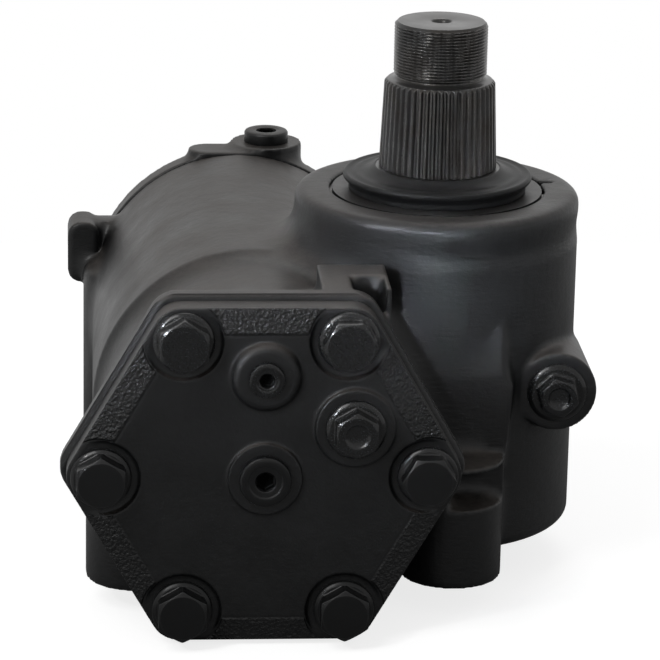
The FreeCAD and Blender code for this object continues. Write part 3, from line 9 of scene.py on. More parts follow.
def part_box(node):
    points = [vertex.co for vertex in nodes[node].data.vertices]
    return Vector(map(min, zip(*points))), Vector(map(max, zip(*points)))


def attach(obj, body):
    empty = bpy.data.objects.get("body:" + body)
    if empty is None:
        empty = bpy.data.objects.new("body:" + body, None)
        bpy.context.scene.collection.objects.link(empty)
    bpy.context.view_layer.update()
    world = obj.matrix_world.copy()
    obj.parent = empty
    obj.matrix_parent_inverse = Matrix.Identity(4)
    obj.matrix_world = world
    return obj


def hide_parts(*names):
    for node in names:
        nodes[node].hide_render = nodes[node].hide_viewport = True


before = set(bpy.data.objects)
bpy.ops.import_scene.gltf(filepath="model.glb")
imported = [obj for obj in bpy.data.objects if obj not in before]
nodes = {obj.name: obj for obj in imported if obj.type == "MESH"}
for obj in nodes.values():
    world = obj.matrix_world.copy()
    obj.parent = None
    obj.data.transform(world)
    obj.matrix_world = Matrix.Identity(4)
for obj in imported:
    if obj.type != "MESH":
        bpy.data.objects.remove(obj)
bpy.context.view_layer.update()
mm = 0.001
barrelAxis = np.array([-18.0, -172.0, 70.0])   # the cylinder axis at the plane of the bolt heads
towerAxis = np.array([71.2, -29.0, 70.0])      # the sector axis at the height of the cylinder axis
print("frame loaded")


def addPiece(name, mesh):
    piece = bpy.data.objects.new(name, mesh)
    bpy.context.scene.collection.objects.link(piece)
    return piece


# Merges doubled points, drops empty faces and, where asked, turns the faces outwards.
def tidyMesh(mesh, merge=1e-7, outward=False):
    work = bmesh.new()
    work.from_mesh(mesh)
    bmesh.ops.remove_doubles(work, verts=work.verts, dist=merge)
    bmesh.ops.dissolve_degenerate(work, edges=work.edges, dist=merge)
    if outward:
        bmesh.ops.recalc_face_normals(work, faces=work.faces)
    work.to_mesh(mesh)
    work.free()
    mesh.update()


# Rows by columns of points, each joined to its neighbours by quads. The columns run all the way round, and
# a row may shrink to a pole.
def gridMesh(name, grid, aroundRows=False):
    rows, columns = grid.shape[:2]
    row, column = np.meshgrid(np.arange(rows if aroundRows else rows - 1), np.arange(columns), indexing="ij")
    nextRow, nextColumn = (row + 1) % rows, (column + 1) % columns
    quads = np.stack([row * columns + column, row * columns + nextColumn,
                      nextRow * columns + nextColumn, nextRow * columns + column], axis=-1).reshape(-1, 4)
    mesh = bpy.data.meshes.new(name)
    mesh.from_pydata(grid.reshape(-1, 3).tolist(), [], quads.tolist())
    tidyMesh(mesh, outward=True)
    return mesh


# Smooth faces, with the edges sharp where two faces meet at more than the angle.
def shadeByAngle(piece, degrees=35.0):
    mesh = piece.data
    mesh.shade_smooth()
    mesh.set_sharp_from_angle(angle=math.radians(degrees))


# Swaps the mesh for what its modifiers make of it.
def applyModifiers(piece):
    shown = piece.evaluated_get(bpy.context.evaluated_depsgraph_get())
    mesh = bpy.data.meshes.new_from_object(shown)
    piece.modifiers.clear()
    old, piece.data = piece.data, mesh
    bpy.data.meshes.remove(old)


# Turns radius, angle and height into points in metres about a place in millimetres: across is the radius
# times the angle's cosine, up its sine, and the height runs along the named axis.
def mapped(radius, angle, height, place, axis):
    across, up = radius * np.cos(angle), radius * np.sin(angle)
    along = height + np.zeros_like(across)
    ways = {"-Y": (across, -along, up), "+Y": (-across, along, up), "+Z": (across, up, along)}
    return (np.stack(ways[axis], axis=-1) + np.asarray(place)) * mm


# A profile whose corners are eased. Each (radius, height, ease) becomes a short parabola between a point
# before it and one after it: the sum of the three points with shares that add up to one.
def rounded(corners, steps=5):
    data = np.array([corner if len(corner) == 3 else (*corner, 0.0) for corner in corners], float)
    points, ease = data[:, :2], data[:, 2]
    before, after = np.roll(points, 1, axis=0) - points, np.roll(points, -1, axis=0) - points
    lengths = [np.maximum(np.linalg.norm(way, axis=1), 1e-9) for way in (before, after)]
    reach = np.minimum(ease, 0.48 * np.minimum(*lengths))       # never half of a side
    start = points + before * (reach / lengths[0])[:, None]
    end = points + after * (reach / lengths[1])[:, None]
    share = np.linspace(0.0, 1.0, steps)[None, :, None]
    curve = (1 - share) ** 2 * start[:, None] + share ** 2 * end[:, None]
    curve = curve + 2 * share * (1 - share) * points[:, None]
    return curve.reshape(-1, 2)


# A turned shape: the eased profile, a closed loop, carried once round the axis.
def lathe(name, corners, place, axis, segments):
    profile = rounded(corners)
    angle = np.linspace(0, 2 * np.pi, segments, endpoint=False)[None, :]
    grid = mapped(profile[:, :1] + 0 * angle, angle + 0 * profile[:, :1], profile[:, 1:], place, axis)
    piece = addPiece(name, gridMesh(name, grid, aroundRows=True))
    shadeByAngle(piece)
    return piece


# Makes one piece of several, with their places still in its mesh.
def joinMeshes(name, pieces):
    work = bmesh.new()
    for piece in pieces:
        work.from_mesh(piece.data)
    mesh = bpy.data.meshes.new(name)
    work.to_mesh(mesh)
    work.free()
    for piece in pieces:
        bpy.data.objects.remove(piece)
    return addPiece(name, mesh)


# One output of a shader tree. Plus, minus and times add Math nodes.
class Wire:
    def __init__(self, finish, socket):
        self.finish, self.socket = finish, socket

    def math(self, operation, first, second=0.0):
        return self.finish.node("ShaderNodeMath", {"operation": operation}, {0: first, 1: second})

    def __add__(self, other):
        return self.math("ADD", self, other)

    def __sub__(self, other):
        return self.math("SUBTRACT", self, other)

    def __rsub__(self, other):
        return self.math("SUBTRACT", other, self)

    def __mul__(self, other):
        return self.math("MULTIPLY", self, other)

    __radd__ = __add__
    __rmul__ = __mul__


# A node tree with a method for any node; a material's own shader is its Principled one.
class Finish:
    def __init__(self, name, constants=None, tree=None):
        self.material = None if tree else bpy.data.materials.new(name)
        if self.material:
            self.material.use_nodes = True
        self.tree = tree or self.material.node_tree
        if constants is not None:
            self.shader = self.tree.nodes["Principled BSDF"]
            for socket, value in constants.items():
                self.shader.inputs[socket].default_value = value
            self.place = self.node("ShaderNodeTexCoord", {}, {}, "Object")

    # Adds a node of a kind, with its settings, then values or wires for its sockets.
    def node(self, kind, settings, inputs, output=0):
        made = self.tree.nodes.new(kind)
        for name, value in settings.items():
            setattr(made, name, value)
        for name, value in inputs.items():
            self.feed(made.inputs[name], value)
        return Wire(self, made.outputs[output] if len(made.outputs) else None)

    def feed(self, socket, value):
        if isinstance(value, Wire):
            self.tree.links.new(value.socket, socket)
        else:
            socket.default_value = value

    def noise(self, scale, detail=4.0, roughness=0.55, place=None):
        return self.node("ShaderNodeTexNoise", {}, {"Vector": place or self.place, "Scale": scale,
                                                    "Detail": detail, "Roughness": roughness}, "Fac")

    def step(self, value, low, high, first=0.0, second=1.0):
        return self.node("ShaderNodeMapRange", {"clamp": True, "interpolation_type": "SMOOTHSTEP"},
                         {0: value, 1: low, 2: high, 3: first, 4: second})

    def mix(self, share, first, second):
        return self.node("ShaderNodeMix", {"data_type": "RGBA"}, {0: share, 6: first, 7: second}, 2)

    def bump(self, height, distance, strength=1.0, normal=None):
        inputs = {"Height": height, "Distance": distance, "Strength": strength}
        if normal:
            inputs["Normal"] = normal
        return self.node("ShaderNodeBump", {}, inputs)

    def stretched(self, scale):
        return self.node("ShaderNodeMapping", {}, {"Vector": self.place, "Scale": scale})

    def axis(self, index, of=None):
        return self.node("ShaderNodeSeparateXYZ", {}, {0: of or self.place}, index)

    # One on faces that look up, nought on upright ones.
    def upward(self, low=0.35, high=0.95):
        return self.step(self.axis(2, self.node("ShaderNodeNewGeometry", {}, {}, "Normal")), low, high)

    # The distance in metres from a line along Y through a place in millimetres.
    def aside(self, centre):
        moved = self.node("ShaderNodeVectorMath", {"operation": "SUBTRACT"},
                          {0: self.place, 1: tuple(float(v) * mm for v in centre)})
        kept = self.node("ShaderNodeVectorMath", {"operation": "MULTIPLY"}, {0: moved, 1: (1, 0, 1)})
        return self.node("ShaderNodeVectorMath", {"operation": "LENGTH"}, {0: kept}, 1)

    # Bright on outer edges, for wear and a painted edge highlight: one less the product of the softened and
    # plain normals.
    def wornAndHighlitEdges(self, spread):
        soft = self.node("ShaderNodeBevel", {"samples": 4}, {"Radius": spread})
        plain = self.node("ShaderNodeNewGeometry", {}, {}, "Normal")
        return 1 - self.node("ShaderNodeVectorMath", {"operation": "DOT_PRODUCT"}, {0: soft, 1: plain}, 1)

    def done(self, colour, roughness, normal, metallic=None):
        self.feed(self.shader.inputs["Base Color"], colour)
        self.feed(self.shader.inputs["Roughness"], roughness)
        self.feed(self.shader.inputs["Normal"], normal)
        if metallic is not None:
            self.feed(self.shader.inputs["Metallic"], metallic)
        return self.material


# A grey of one level, made warmer or, below nought, bluer.
def shade(level, warm=0.0):
    return (level * (1 + warm), level, level * (1 - warm), 1.0)


castPaint = {
    "dark": 0.0024, "light": 0.0046, "specular": 0.25, "roughness": 0.44, "spread": 0.14,
    "fine": 1100.0, "medium": 260.0, "waves": 38.0, "marks": (170.0, 170.0, 620.0),   # scales of the patterns
    "grain": 0.00014, "waveHeight": 0.0011, "markShare": 1.5,                         # bump heights in metres
    "waveStrength": 0.35, "grainStrength": 0.8, "fineSpread": 0.10, "dustSheen": 0.04,
    "patchEdge": (0.35, 0.7), "dustEdge": (0.3, 0.6), "dust": (0.0370, 0.0322, 0.0286, 1.0), "dustShare": 0.8,
    "topFrom": 0.160, "topTo": 0.164, "topDust": 0.6,         # above this height in metres it was wiped
    "coarse": 620.0, "coarseShare": 6.0, "stripLevel": 0.0030, "stripSheen": 0.08,    # where left rough
}


# Satin black paint over sand-cast iron: fine grain, marks of dressing, soft waves and dust on what looks up.
# A zone function gives one where the casting was left rough.
def paintedCast(name, settings, roughZone=None):
    finish = Finish(name, {"Specular IOR Level": settings["specular"], "IOR": 1.5})
    fine = finish.noise(settings["fine"], 3.0, 0.6)
    medium = finish.noise(settings["medium"], 4.0, 0.6)
    waves = finish.noise(settings["waves"], 3.0, 0.5)
    marks = finish.noise(1.0, 3.0, 0.6, finish.stretched(settings["marks"]))
    patches = finish.step(medium * 0.6 + waves * 0.4, *settings["patchEdge"])
    colour = finish.mix(patches, shade(settings["dark"], -0.05), shade(settings["light"], -0.05))
    dust = finish.upward() * finish.step(fine * 0.25 + medium * 0.35 + waves * 0.4, *settings["dustEdge"])
    height = finish.axis(2)
    dust = dust * finish.step(height, settings["topFrom"], settings["topTo"], 1.0, settings["topDust"])
    colour = finish.mix(dust * settings["dustShare"], colour, settings["dust"])
    roughness = (waves - 0.5) * settings["spread"] * 2 + (fine - 0.5) * settings["fineSpread"]
    roughness = roughness + settings["roughness"] + dust * settings["dustSheen"]
    grain = fine * 0.4 + medium * 0.9 + marks * settings["markShare"]
    if roughZone:
        zone = roughZone(finish)
        coarse = finish.noise(settings["coarse"], 2.0, 0.5)
        colour = finish.mix(zone * coarse, colour, shade(settings["stripLevel"], -0.04))
        grain = grain * (1 - zone) + (coarse * settings["coarseShare"] + fine) * zone
        roughness = roughness - zone * settings["stripSheen"]
    normal = finish.bump(waves, settings["waveHeight"], settings["waveStrength"])
    normal = finish.bump(grain, settings["grain"], settings["grainStrength"], normal)
    return finish.done(colour, roughness, normal)


gloss = {
    "fine": 900.0, "waves": 160.0, "fineShare": 0.12, "spread": 0.12,
    "coat": 0.26, "coatRoughness": 0.07, "wetFrom": 76.0, "wetTo": 84.0, "wetDrop": 0.06,   # heights in mm
    "wornAndHighlit": 0.6, "wornAndHighlitFrom": 0.004, "wornAndHighlitTo": 0.04, "edge": 0.05, "edgeWidth": 0.0005,
}


# Glossier black paint, as on bolts and plugs. It went on wetter on the upper ones, which shine more. Its
# edges are lighter, as wear and as a painted edge highlight.
def paintedSmooth(name, level=0.003, roughness=0.34, waviness=0.0002, specular=0.20, coat=1.0):
    finish = Finish(name, {"Specular IOR Level": specular, "IOR": 1.5, "Coat IOR": 1.42,
                           "Coat Roughness": gloss["coatRoughness"]})
    fine = finish.noise(gloss["fine"], 3.0)
    waves = finish.noise(gloss["waves"], 3.0)
    wet = finish.step(finish.axis(2), gloss["wetFrom"] * mm, gloss["wetTo"] * mm)
    colour = finish.mix(waves, shade(level, -0.04), shade(level * 1.5, -0.03))
    # Worn edges and a painted edge highlight: a lighter grey near the edges.
    wornAndHighlit = finish.step(finish.wornAndHighlitEdges(gloss["edgeWidth"]), gloss["wornAndHighlitFrom"], gloss["wornAndHighlitTo"])
    colour = finish.mix(wornAndHighlit * gloss["wornAndHighlit"], colour, shade(gloss["edge"], -0.02))
    finish.feed(finish.shader.inputs["Coat Weight"], wet * gloss["coat"] * coat)
    normal = finish.bump(waves + fine * gloss["fineShare"], waviness, 0.6)
    return finish.done(colour, (fine - 0.5) * gloss["spread"] + roughness - wet * gloss["wetDrop"], normal)


steel = {
    "upright": (700.0, 700.0, 45.0), "stains": 70.0, "fine": 1300.0,            # scales of the patterns
    "stainLevel": 0.7, "stainWarmth": 0.12, "lineLevel": 1.6, "lineShare": 0.35,
    "highlitTopLevel": 3.2, "highlitTopShare": 0.6, "edge": 0.40, "edgeWidth": 0.0005,
    "wornAndHighlit": 0.85, "wornAndHighlitFrom": 0.02, "wornAndHighlitTo": 0.22, "wornAndHighlitSheen": 0.08,
    "grain": 0.00008, "spread": 0.22, "metallic": 0.92,
}


# Oiled dark steel: turning marks along the streak scale, brownish stains, brighter worn edges that are partly
# a painted highlight, and a painted highlight on faces that look up.
def darkSteel(name, base=0.034, roughness=0.34, streaks=(60.0, 60.0, 900.0)):
    finish = Finish(name, {"IOR": 1.5})
    lines = finish.noise(1.0, 4.0, 0.6, finish.stretched(streaks))
    upright = finish.noise(1.0, 3.0, 0.6, finish.stretched(steel["upright"]))
    stain = finish.noise(steel["stains"], 4.0, 0.6)
    fine = finish.noise(steel["fine"], 2.0)
    # Worn crests and edges, partly a painted highlight: a brighter steel tone near the edges.
    wornAndHighlit = finish.step(finish.wornAndHighlitEdges(steel["edgeWidth"]), steel["wornAndHighlitFrom"], steel["wornAndHighlitTo"])
    wornAndHighlit = wornAndHighlit * finish.step(upright, 0.38, 0.62)
    stained = shade(base * steel["stainLevel"], steel["stainWarmth"])
    tone = finish.mix(finish.step(stain, 0.4, 0.65), shade(base, 0.0), stained)
    tone = finish.mix(lines * steel["lineShare"], tone, shade(base * steel["lineLevel"], 0.02))
    # A painted highlight: faces that look up get a brighter tone.
    top = finish.upward(0.7, 0.97) * steel["highlitTopShare"]
    tone = finish.mix(top, tone, shade(base * steel["highlitTopLevel"], 0.02))
    tone = finish.mix(wornAndHighlit * steel["wornAndHighlit"], tone, shade(steel["edge"], 0.03))
    normal = finish.bump(lines * 0.6 + fine * 0.4, steel["grain"], 0.5)
    roughness = (lines - 0.5) * steel["spread"] - wornAndHighlit * steel["wornAndHighlitSheen"] + roughness
    return finish.done(tone, roughness, normal, steel["metallic"])


bright = {"base": 0.30, "stainLevel": 1.5, "roughness": 0.28, "spread": 0.2, "grain": 0.00005,
          "streaks": (40.0, 1400.0, 40.0), "stains": 90.0}


# Ground bright steel for what moves inside.
def groundSteel(name):
    finish = Finish(name, {})
    lines = finish.noise(1.0, 4.0, 0.6, finish.stretched(bright["streaks"]))
    stain = finish.noise(bright["stains"], 4.0)
    tone = finish.mix(stain, shade(bright["base"], 0.01), shade(bright["base"] * bright["stainLevel"], 0.0))
    roughness = (lines - 0.5) * bright["spread"] + bright["roughness"]
    return finish.done(tone, roughness, finish.bump(lines, bright["grain"], 0.4), 1.0)


soft = {"specular": 0.12, "blooms": 120.0, "pores": 1800.0, "bloomLevel": 2.6, "bloomEdge": (0.3, 0.65),
        "roughness": 0.44, "spread": 0.2, "grain": 0.00010}


# Matte black rubber with fine pores, and a grey bloom of dust where it looks up.
def rubber(name, level=0.004):
    finish = Finish(name, {"Specular IOR Level": soft["specular"]})
    bloom = finish.noise(soft["blooms"], 5.0, 0.65)
    pores = finish.noise(soft["pores"], 2.0)
    dust = finish.upward(0.55, 0.95) * finish.step(bloom, *soft["bloomEdge"])
    tone = finish.mix(dust, shade(level, 0.0), shade(level * soft["bloomLevel"], 0.02))
    roughness = (bloom - 0.5) * soft["spread"] + soft["roughness"]
    return finish.done(tone, roughness, finish.bump(pores + bloom * 0.6, soft["grain"], 0.6))


# Brown bearing plastic with a faint cloud.
def plastic(name, colour=(0.25, 0.16, 0.05, 1.0)):
    finish = Finish(name, {})
    cloud = finish.noise(200.0, 3.0)
    tone = finish.mix(cloud, colour, tuple(v * 0.7 for v in colour[:3]) + (1.0,))
    return finish.done(tone, (cloud - 0.5) * 0.1 + 0.4, finish.bump(cloud, 0.00005, 0.4))


coverBoltAngles = [0, 60, 120, 180, 240, 300]
stripLook = {"front": (9.1, 9.5), "rim": (12.6, 13.2), "boltCircle": 75.0, "seat": (18.4, 19.2)}


# One on the rough sloping strips round the cover, nought on its flat face, the bolt seats and its rim.
def coverZone(finish):
    depth = finish.axis(1)
    front, rim = [[(barrelAxis[1] + place) * mm for place in stripLook[edge]] for edge in ("front", "rim")]
    strip = finish.step(depth, *front) * finish.step(depth, *rim, 1.0, 0.0)
    inner, outer = [reach * mm for reach in stripLook["seat"]]
    for angle in np.radians(coverBoltAngles):
        seat = barrelAxis + stripLook["boltCircle"] * np.array([math.cos(angle), 0.0, math.sin(angle)])
        strip = strip * finish.step(finish.aside(seat), inner, outer)
    return strip


housingPaint = paintedCast("housing_paint", castPaint)
coverPaint = paintedCast("cover_paint", dict(castPaint, grain=0.00030, markShare=0.2), coverZone)
valvePaint = paintedCast("valve_paint", castPaint)
boltPaint = paintedSmooth("bolt_paint")
plugPaint = paintedSmooth("plug_paint", 0.0025, 0.33, coat=0.7)
# Near-black, dull paint that stands in for the shade down in the sockets: a painted shade.
socketPaintedShade = paintedSmooth("socket_painted_shade", 0.0006, 0.75, 0.0001, 0.03, 0.0)
seatPaint = paintedCast("seat_paint", dict(castPaint, grain=0.00005, roughness=0.38, dustShare=0.45,
                                           markShare=0.5))
portPaint = paintedCast("port_paint", dict(castPaint, grain=0.00008, dustShare=0.5, markShare=0.8))
shaftSteel = darkSteel("shaft_steel")
ringSteel = darkSteel("ring_steel", 0.045, 0.42)
innerSteel = groundSteel("inner_steel")
bootRubber = rubber("boot_rubber")
sealRubber = rubber("seal_rubber", 0.008)
sealPlastic = plastic("seal_plastic_finish")
print("finishes made")


# The mesh's points and normals, and a function that gives each point the mean of its neighbours' values.
def meshLinks(mesh):
    count = len(mesh.vertices)
    points, normals = np.empty(count * 3), np.empty(count * 3)
    mesh.vertices.foreach_get("co", points)
    mesh.vertices.foreach_get("normal", normals)
    edges = np.empty(len(mesh.edges) * 2, int)
    mesh.edges.foreach_get("vertices", edges)
    first, second = edges.reshape(-1, 2).T
    links = np.maximum(np.bincount(first, minlength=count) + np.bincount(second, minlength=count), 1)

    def spread(values):
        total = [np.bincount(first, column[second], count) + np.bincount(second, column[first], count)
                 for column in values.T]
        return np.stack(total, axis=1) / links[:, None]

    return points.reshape(-1, 3), normals.reshape(-1, 3), spread


fillLook = {"freshNormals": 8, "there": 0.5, "back": -0.52}


# Grows cast fillets. Each pass moves the points of hollow corners towards the mean of their neighbours, times
# keep, and never inwards. Then ripples go: passes towards that mean and a little further back by turns.
def fillCorners(mesh, look, keep):
    points, normals, spread = meshLinks(mesh)
    weight = keep(points / mm)[:, None]
    for turn in range(look["fillPasses"]):
        move = spread(points) - points
        along = np.sum(move * normals, axis=1, keepdims=True)
        points = points + np.where(along > 0, weight, 0.0) * move * look["fillShare"]
        if (turn + 1) % fillLook["freshNormals"] == 0:
            normals = spread(normals) + normals
            normals /= np.maximum(np.linalg.norm(normals, axis=1, keepdims=True), 1e-9)
    loose = np.minimum(weight + look["loose"], 1.0)
    for turn in range(look["ripplePasses"]):
        for share in (fillLook["there"], fillLook["back"]):
            points = points + (spread(points) - points) * share * loose
    mesh.vertices.foreach_set("co", points.reshape(-1))
    mesh.update()


# The casting's skin: the solid remeshed in small cubes, its hollow corners filled, dressed, then thinned.
def castSkin(node, look, keep, finish, dress=None):
    piece = addPiece(node + "_casting", nodes[node].data.copy())
    tidyMesh(piece.data, 1e-6)
    remesh = piece.modifiers.new("Remesh", "REMESH")
    remesh.mode = "VOXEL"
    remesh.voxel_size = look["voxel"] * mm
    applyModifiers(piece)
    fillCorners(piece.data, look, keep)
    points = np.empty(len(piece.data.vertices) * 3)
    piece.data.vertices.foreach_get("co", points)
    points = points.reshape(-1, 3)
    if dress:
        points = dress(points / mm) * mm
    points = np.clip(points, *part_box(node))
    piece.data.vertices.foreach_set("co", points.reshape(-1))
    piece.data.update()
    faces = len(piece.data.polygons) * 2
    if faces > look["triangles"]:
        thin = piece.modifiers.new("Thin", "DECIMATE")
        thin.ratio = look["triangles"] / faces
        applyModifiers(piece)
    piece.data.shade_smooth()
    piece.data.materials.clear()
    piece.data.materials.append(finish)
    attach(piece, "housing")
    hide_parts(node)
    print(node, "skin", faces, "->", sum(len(p.vertices) - 2 for p in piece.data.polygons))


# Nought below low, one above high, and three squares less two cubes of the share between them.
def easeStep(value, low, high):
    share = np.clip((value - low) / (high - low), 0.0, 1.0)
    return share * share * (3 - 2 * share)


# How far a point is outside a hexagon of no size whose corners point left and right.
def hexDistance(x, z):
    ways = [math.radians(30 + 60 * side) for side in range(6)]
    return np.max([x * math.cos(way) + z * math.sin(way) for way in ways], axis=0)


housingLook = {
    "voxel": 1.25, "fillPasses": 110, "fillShare": 0.5, "ripplePasses": 6, "loose": 0.35, "triangles": 190000,
    "towerRing": 58.0, "ringAbove": 165.0, "ringBelow": 20.0, "boreReach": 60.0, "footTop": -11.0,
    "bossReach": 33.0, "bossLength": 70.0, "bossKeep": 0.10,
    "fairingFrom": 20.0, "fairingTo": 42.0, "fairingFront": 52.0, "fairingLow": 42.0, "fairingKeep": 0.06,
    "bandDepth": 0.9, "bandLow": 77.0, "bandHigh": 95.0, "wallRadius": 69.0, "wallEase": (-2.0, -0.8),
    "sideFrom": (-112.0, -84.0), "sideTo": (-15.0, 20.0),     # degrees round the tower
    "joint": 24.5, "jointEase": (-1.6, -0.6), "flangeReach": 80.5, "flangeEdge": 3.0, "flangeLean": 0.62,
}
sideBossSpot = barrelAxis + (143.7, 85.0, 16.0)


# Nought at the machined places: the tower's top ring, the foot faces and the flange joint. Little at the side
# boss and the fairing, whose corners are tight.
def housingKeep(points):
    look = housingLook
    x, y, z = points.T
    tower = np.hypot(x - towerAxis[0], y - towerAxis[1])
    machined = (tower < look["towerRing"]) & ((z > look["ringAbove"]) | (z < look["ringBelow"]))
    bore = np.hypot(x - barrelAxis[0], z - barrelAxis[2]) < look["boreReach"]
    keep = np.where(machined | bore | (z < look["footTop"]), 0.0, 1.0)
    boss = np.hypot(x - sideBossSpot[0], z - sideBossSpot[2]) < look["bossReach"]
    keep = np.where(boss & (y < sideBossSpot[1] + look["bossLength"]), keep * look["bossKeep"], keep)
    beside = x - towerAxis[0]
    fairing = (beside > look["fairingFrom"]) & (beside < look["fairingTo"])
    fairing &= (y < towerAxis[1] - look["fairingFront"]) & (z > look["fairingLow"])
    return np.where(fairing, keep * look["fairingKeep"], keep)


# Hand-dressed forms. The tower's wall is drawn in below its rim, by a sine squared of the height, and the
# flange's edge leans back outside the cover.
def housingDress(points):
    look, moved = housingLook, points.copy()
    away = points[:, :2] - towerAxis[:2]
    reach = np.hypot(away[:, 0], away[:, 1])
    height = points[:, 2] - towerAxis[2]
    share = np.clip((height - look["bandLow"]) / (look["bandHigh"] - look["bandLow"]), 0.0, 1.0)
    angle = np.degrees(np.arctan2(away[:, 1], away[:, 0]))
    front = easeStep(angle, *look["sideFrom"]) * easeStep(-angle, *look["sideTo"])    # towards the camera
    wall = easeStep(-np.abs(reach - look["wallRadius"]), *look["wallEase"])
    depth = look["bandDepth"] * np.sin(np.pi * share) ** 2 * front * wall
    moved[:, :2] -= away / np.maximum(reach, 1e-6)[:, None] * depth[:, None]
    beyond = hexDistance(points[:, 0] - barrelAxis[0], points[:, 2] - barrelAxis[2]) - look["flangeReach"]
    joint = barrelAxis[1] + look["joint"]
    edge = easeStep(-np.abs(points[:, 1] - joint), *look["jointEase"])
    moved[:, 1] += np.clip(beyond, 0.0, look["flangeEdge"]) * look["flangeLean"] * edge
    return moved


castSkin("gear_housing", housingLook, housingKeep, housingPaint, housingDress)

coverLook = {"voxel": 0.62, "fillPasses": 10, "fillShare": 0.5, "ripplePasses": 2, "loose": 0.5,
             "triangles": 190000, "castTo": 22.0}


# The cover's joint face is machined.
def coverKeep(points):
    return np.where(points[:, 1] < barrelAxis[1] + coverLook["castTo"], 1.0, 0.0)


castSkin("cylinder_cover", coverLook, coverKeep, coverPaint)

valveLook = {"voxel": 1.2, "fillPasses": 60, "fillShare": 0.5, "ripplePasses": 4, "loose": 0.3,
             "triangles": 150000, "castFrom": 305.5, "bore": 36.0}


# Only the outside of the valve housing behind the joint is cast.
def valveKeep(points):
    reach = np.hypot(points[:, 0] - barrelAxis[0], points[:, 2] - barrelAxis[2])
    behind = points[:, 1] > barrelAxis[1] + valveLook["castFrom"]
    return np.where(behind & (reach > valveLook["bore"]), 1.0, 0.0)


castSkin("valve_housing", valveLook, valveKeep, valvePaint)
print("castings made")


# What all heads share. Angles are in degrees.
headLook = {"columns": 120, "bevelSegments": 2, "bevelFrom": 28.0, "sharpFrom": 30.0, "cornerShare": 0.985,
            "coneRows": 5, "flatShares": (0.4, 0.8, 1.0), "filletWays": (22.0, 45.0, 68.0, 90.0),
            "skirtGap": 0.05}


# The distance from the centre to a hexagon's side along an angle. Its corners are cut a little.
def hexReach(angle, acrossFlats, turn):
    part = np.mod(angle - math.radians(turn), math.pi / 3) - math.pi / 6
    return np.minimum(acrossFlats / 2 / np.cos(part), acrossFlats / math.sqrt(3.0) * headLook["cornerShare"])


# Rows of (radius, height) round an axis made a mesh, with its edges eased.
def turnedRows(name, rows, angle, place, axis, bevel):
    radius = np.concatenate([reach + 0 * angle for reach, level in rows])
    height = np.concatenate([level + 0 * angle for reach, level in rows])
    piece = addPiece(name, gridMesh(name, mapped(radius, angle + 0 * radius, height, place, axis)))
    edge = piece.modifiers.new("Edge", "BEVEL")
    edge.width = bevel * mm
    edge.segments = headLook["bevelSegments"]
    edge.limit_method = "ANGLE"
    edge.angle_limit = math.radians(headLook["bevelFrom"])
    applyModifiers(piece)
    shadeByAngle(piece, headLook["sharpFrom"])
    return piece


# A flange bolt's head. Its rows run from the middle of the top, over the chamfer cone, down the flats, round
# a hollow fillet, out over the flange and under it to the middle. On the cone the height falls with radius.
def hexHead(name, place, axis, look, turn):
    angle = (np.linspace(0, 2 * np.pi, headLook["columns"], endpoint=False) + math.radians(turn))[None, :]
    hexagon = hexReach(angle, look["acrossFlats"], turn)
    top, cone, base, fillet = look["height"], look["cone"], look["base"], look["fillet"]
    rows = [(radius, top - drop) for radius, drop in look["face"]]
    for share in np.linspace(0.0, 1.0, headLook["coneRows"]):
        radius = cone + (hexagon - cone) * share
        rows.append((radius, top - np.maximum(radius - cone, 0.0) * look["fall"]))
    shoulder = rows[-1][1]
    rows += [(hexagon, shoulder + (base + fillet - shoulder) * share) for share in headLook["flatShares"]]
    for way in np.radians(headLook["filletWays"]):
        reach = np.minimum(hexagon + fillet * (1 - math.cos(way)), look["skirt"][0][0] - headLook["skirtGap"])
        rows.append((reach, base + fillet * (1 - math.sin(way))))
    return turnedRows(name, rows + list(look["skirt"]), angle, place, axis, look["bevel"])


# Heads at several places as one piece, which stands for the CAD node.
def boltRow(name, look, node, spots, finish):
    heads = [hexHead("%s_%d" % (name, index), place, axis, look, turn)
             for index, (place, axis, turn) in enumerate(spots)]
    row = joinMeshes(name, heads)
    shadeByAngle(row, headLook["sharpFrom"])
    row.data.materials.append(finish)
    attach(row, "housing")
    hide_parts(node)


# Places evenly round the cylinder axis, at a distance along it from the plane of the bolt heads.
def circleSpots(angles, reach, depth, axis, turns):
    ways = [math.radians(angle) for angle in angles]
    return [(barrelAxis + (reach * math.cos(way), depth, reach * math.sin(way)), axis, turns(angle))
            for way, angle in zip(ways, angles)]


# A head's face is given by radius and drop below its top, and its skirt by radius and height.
coverBoltLook = {
    "acrossFlats": 22.0, "height": 11.6, "cone": 10.5, "fall": 0.6, "base": 3.3, "fillet": 1.0, "bevel": 0.22,
    "face": [(0.0, 0.0), (6.0, 0.0), (9.8, 0.0)],
    "skirt": [(12.5, 3.3), (13.05, 2.95), (13.6, 2.5), (13.9, 2.2), (14.0, 1.9), (14.0, 0.0), (0.0, 0.0)],
    "reach": 75.0, "seat": 11.6,
}
boltRow("cover_bolt_heads", coverBoltLook, "cover_bolts", circleSpots(
    coverBoltAngles, coverBoltLook["reach"], coverBoltLook["seat"], "-Y",
    lambda angle: 0.0 if angle in (0, 60) else 30.0), boltPaint)

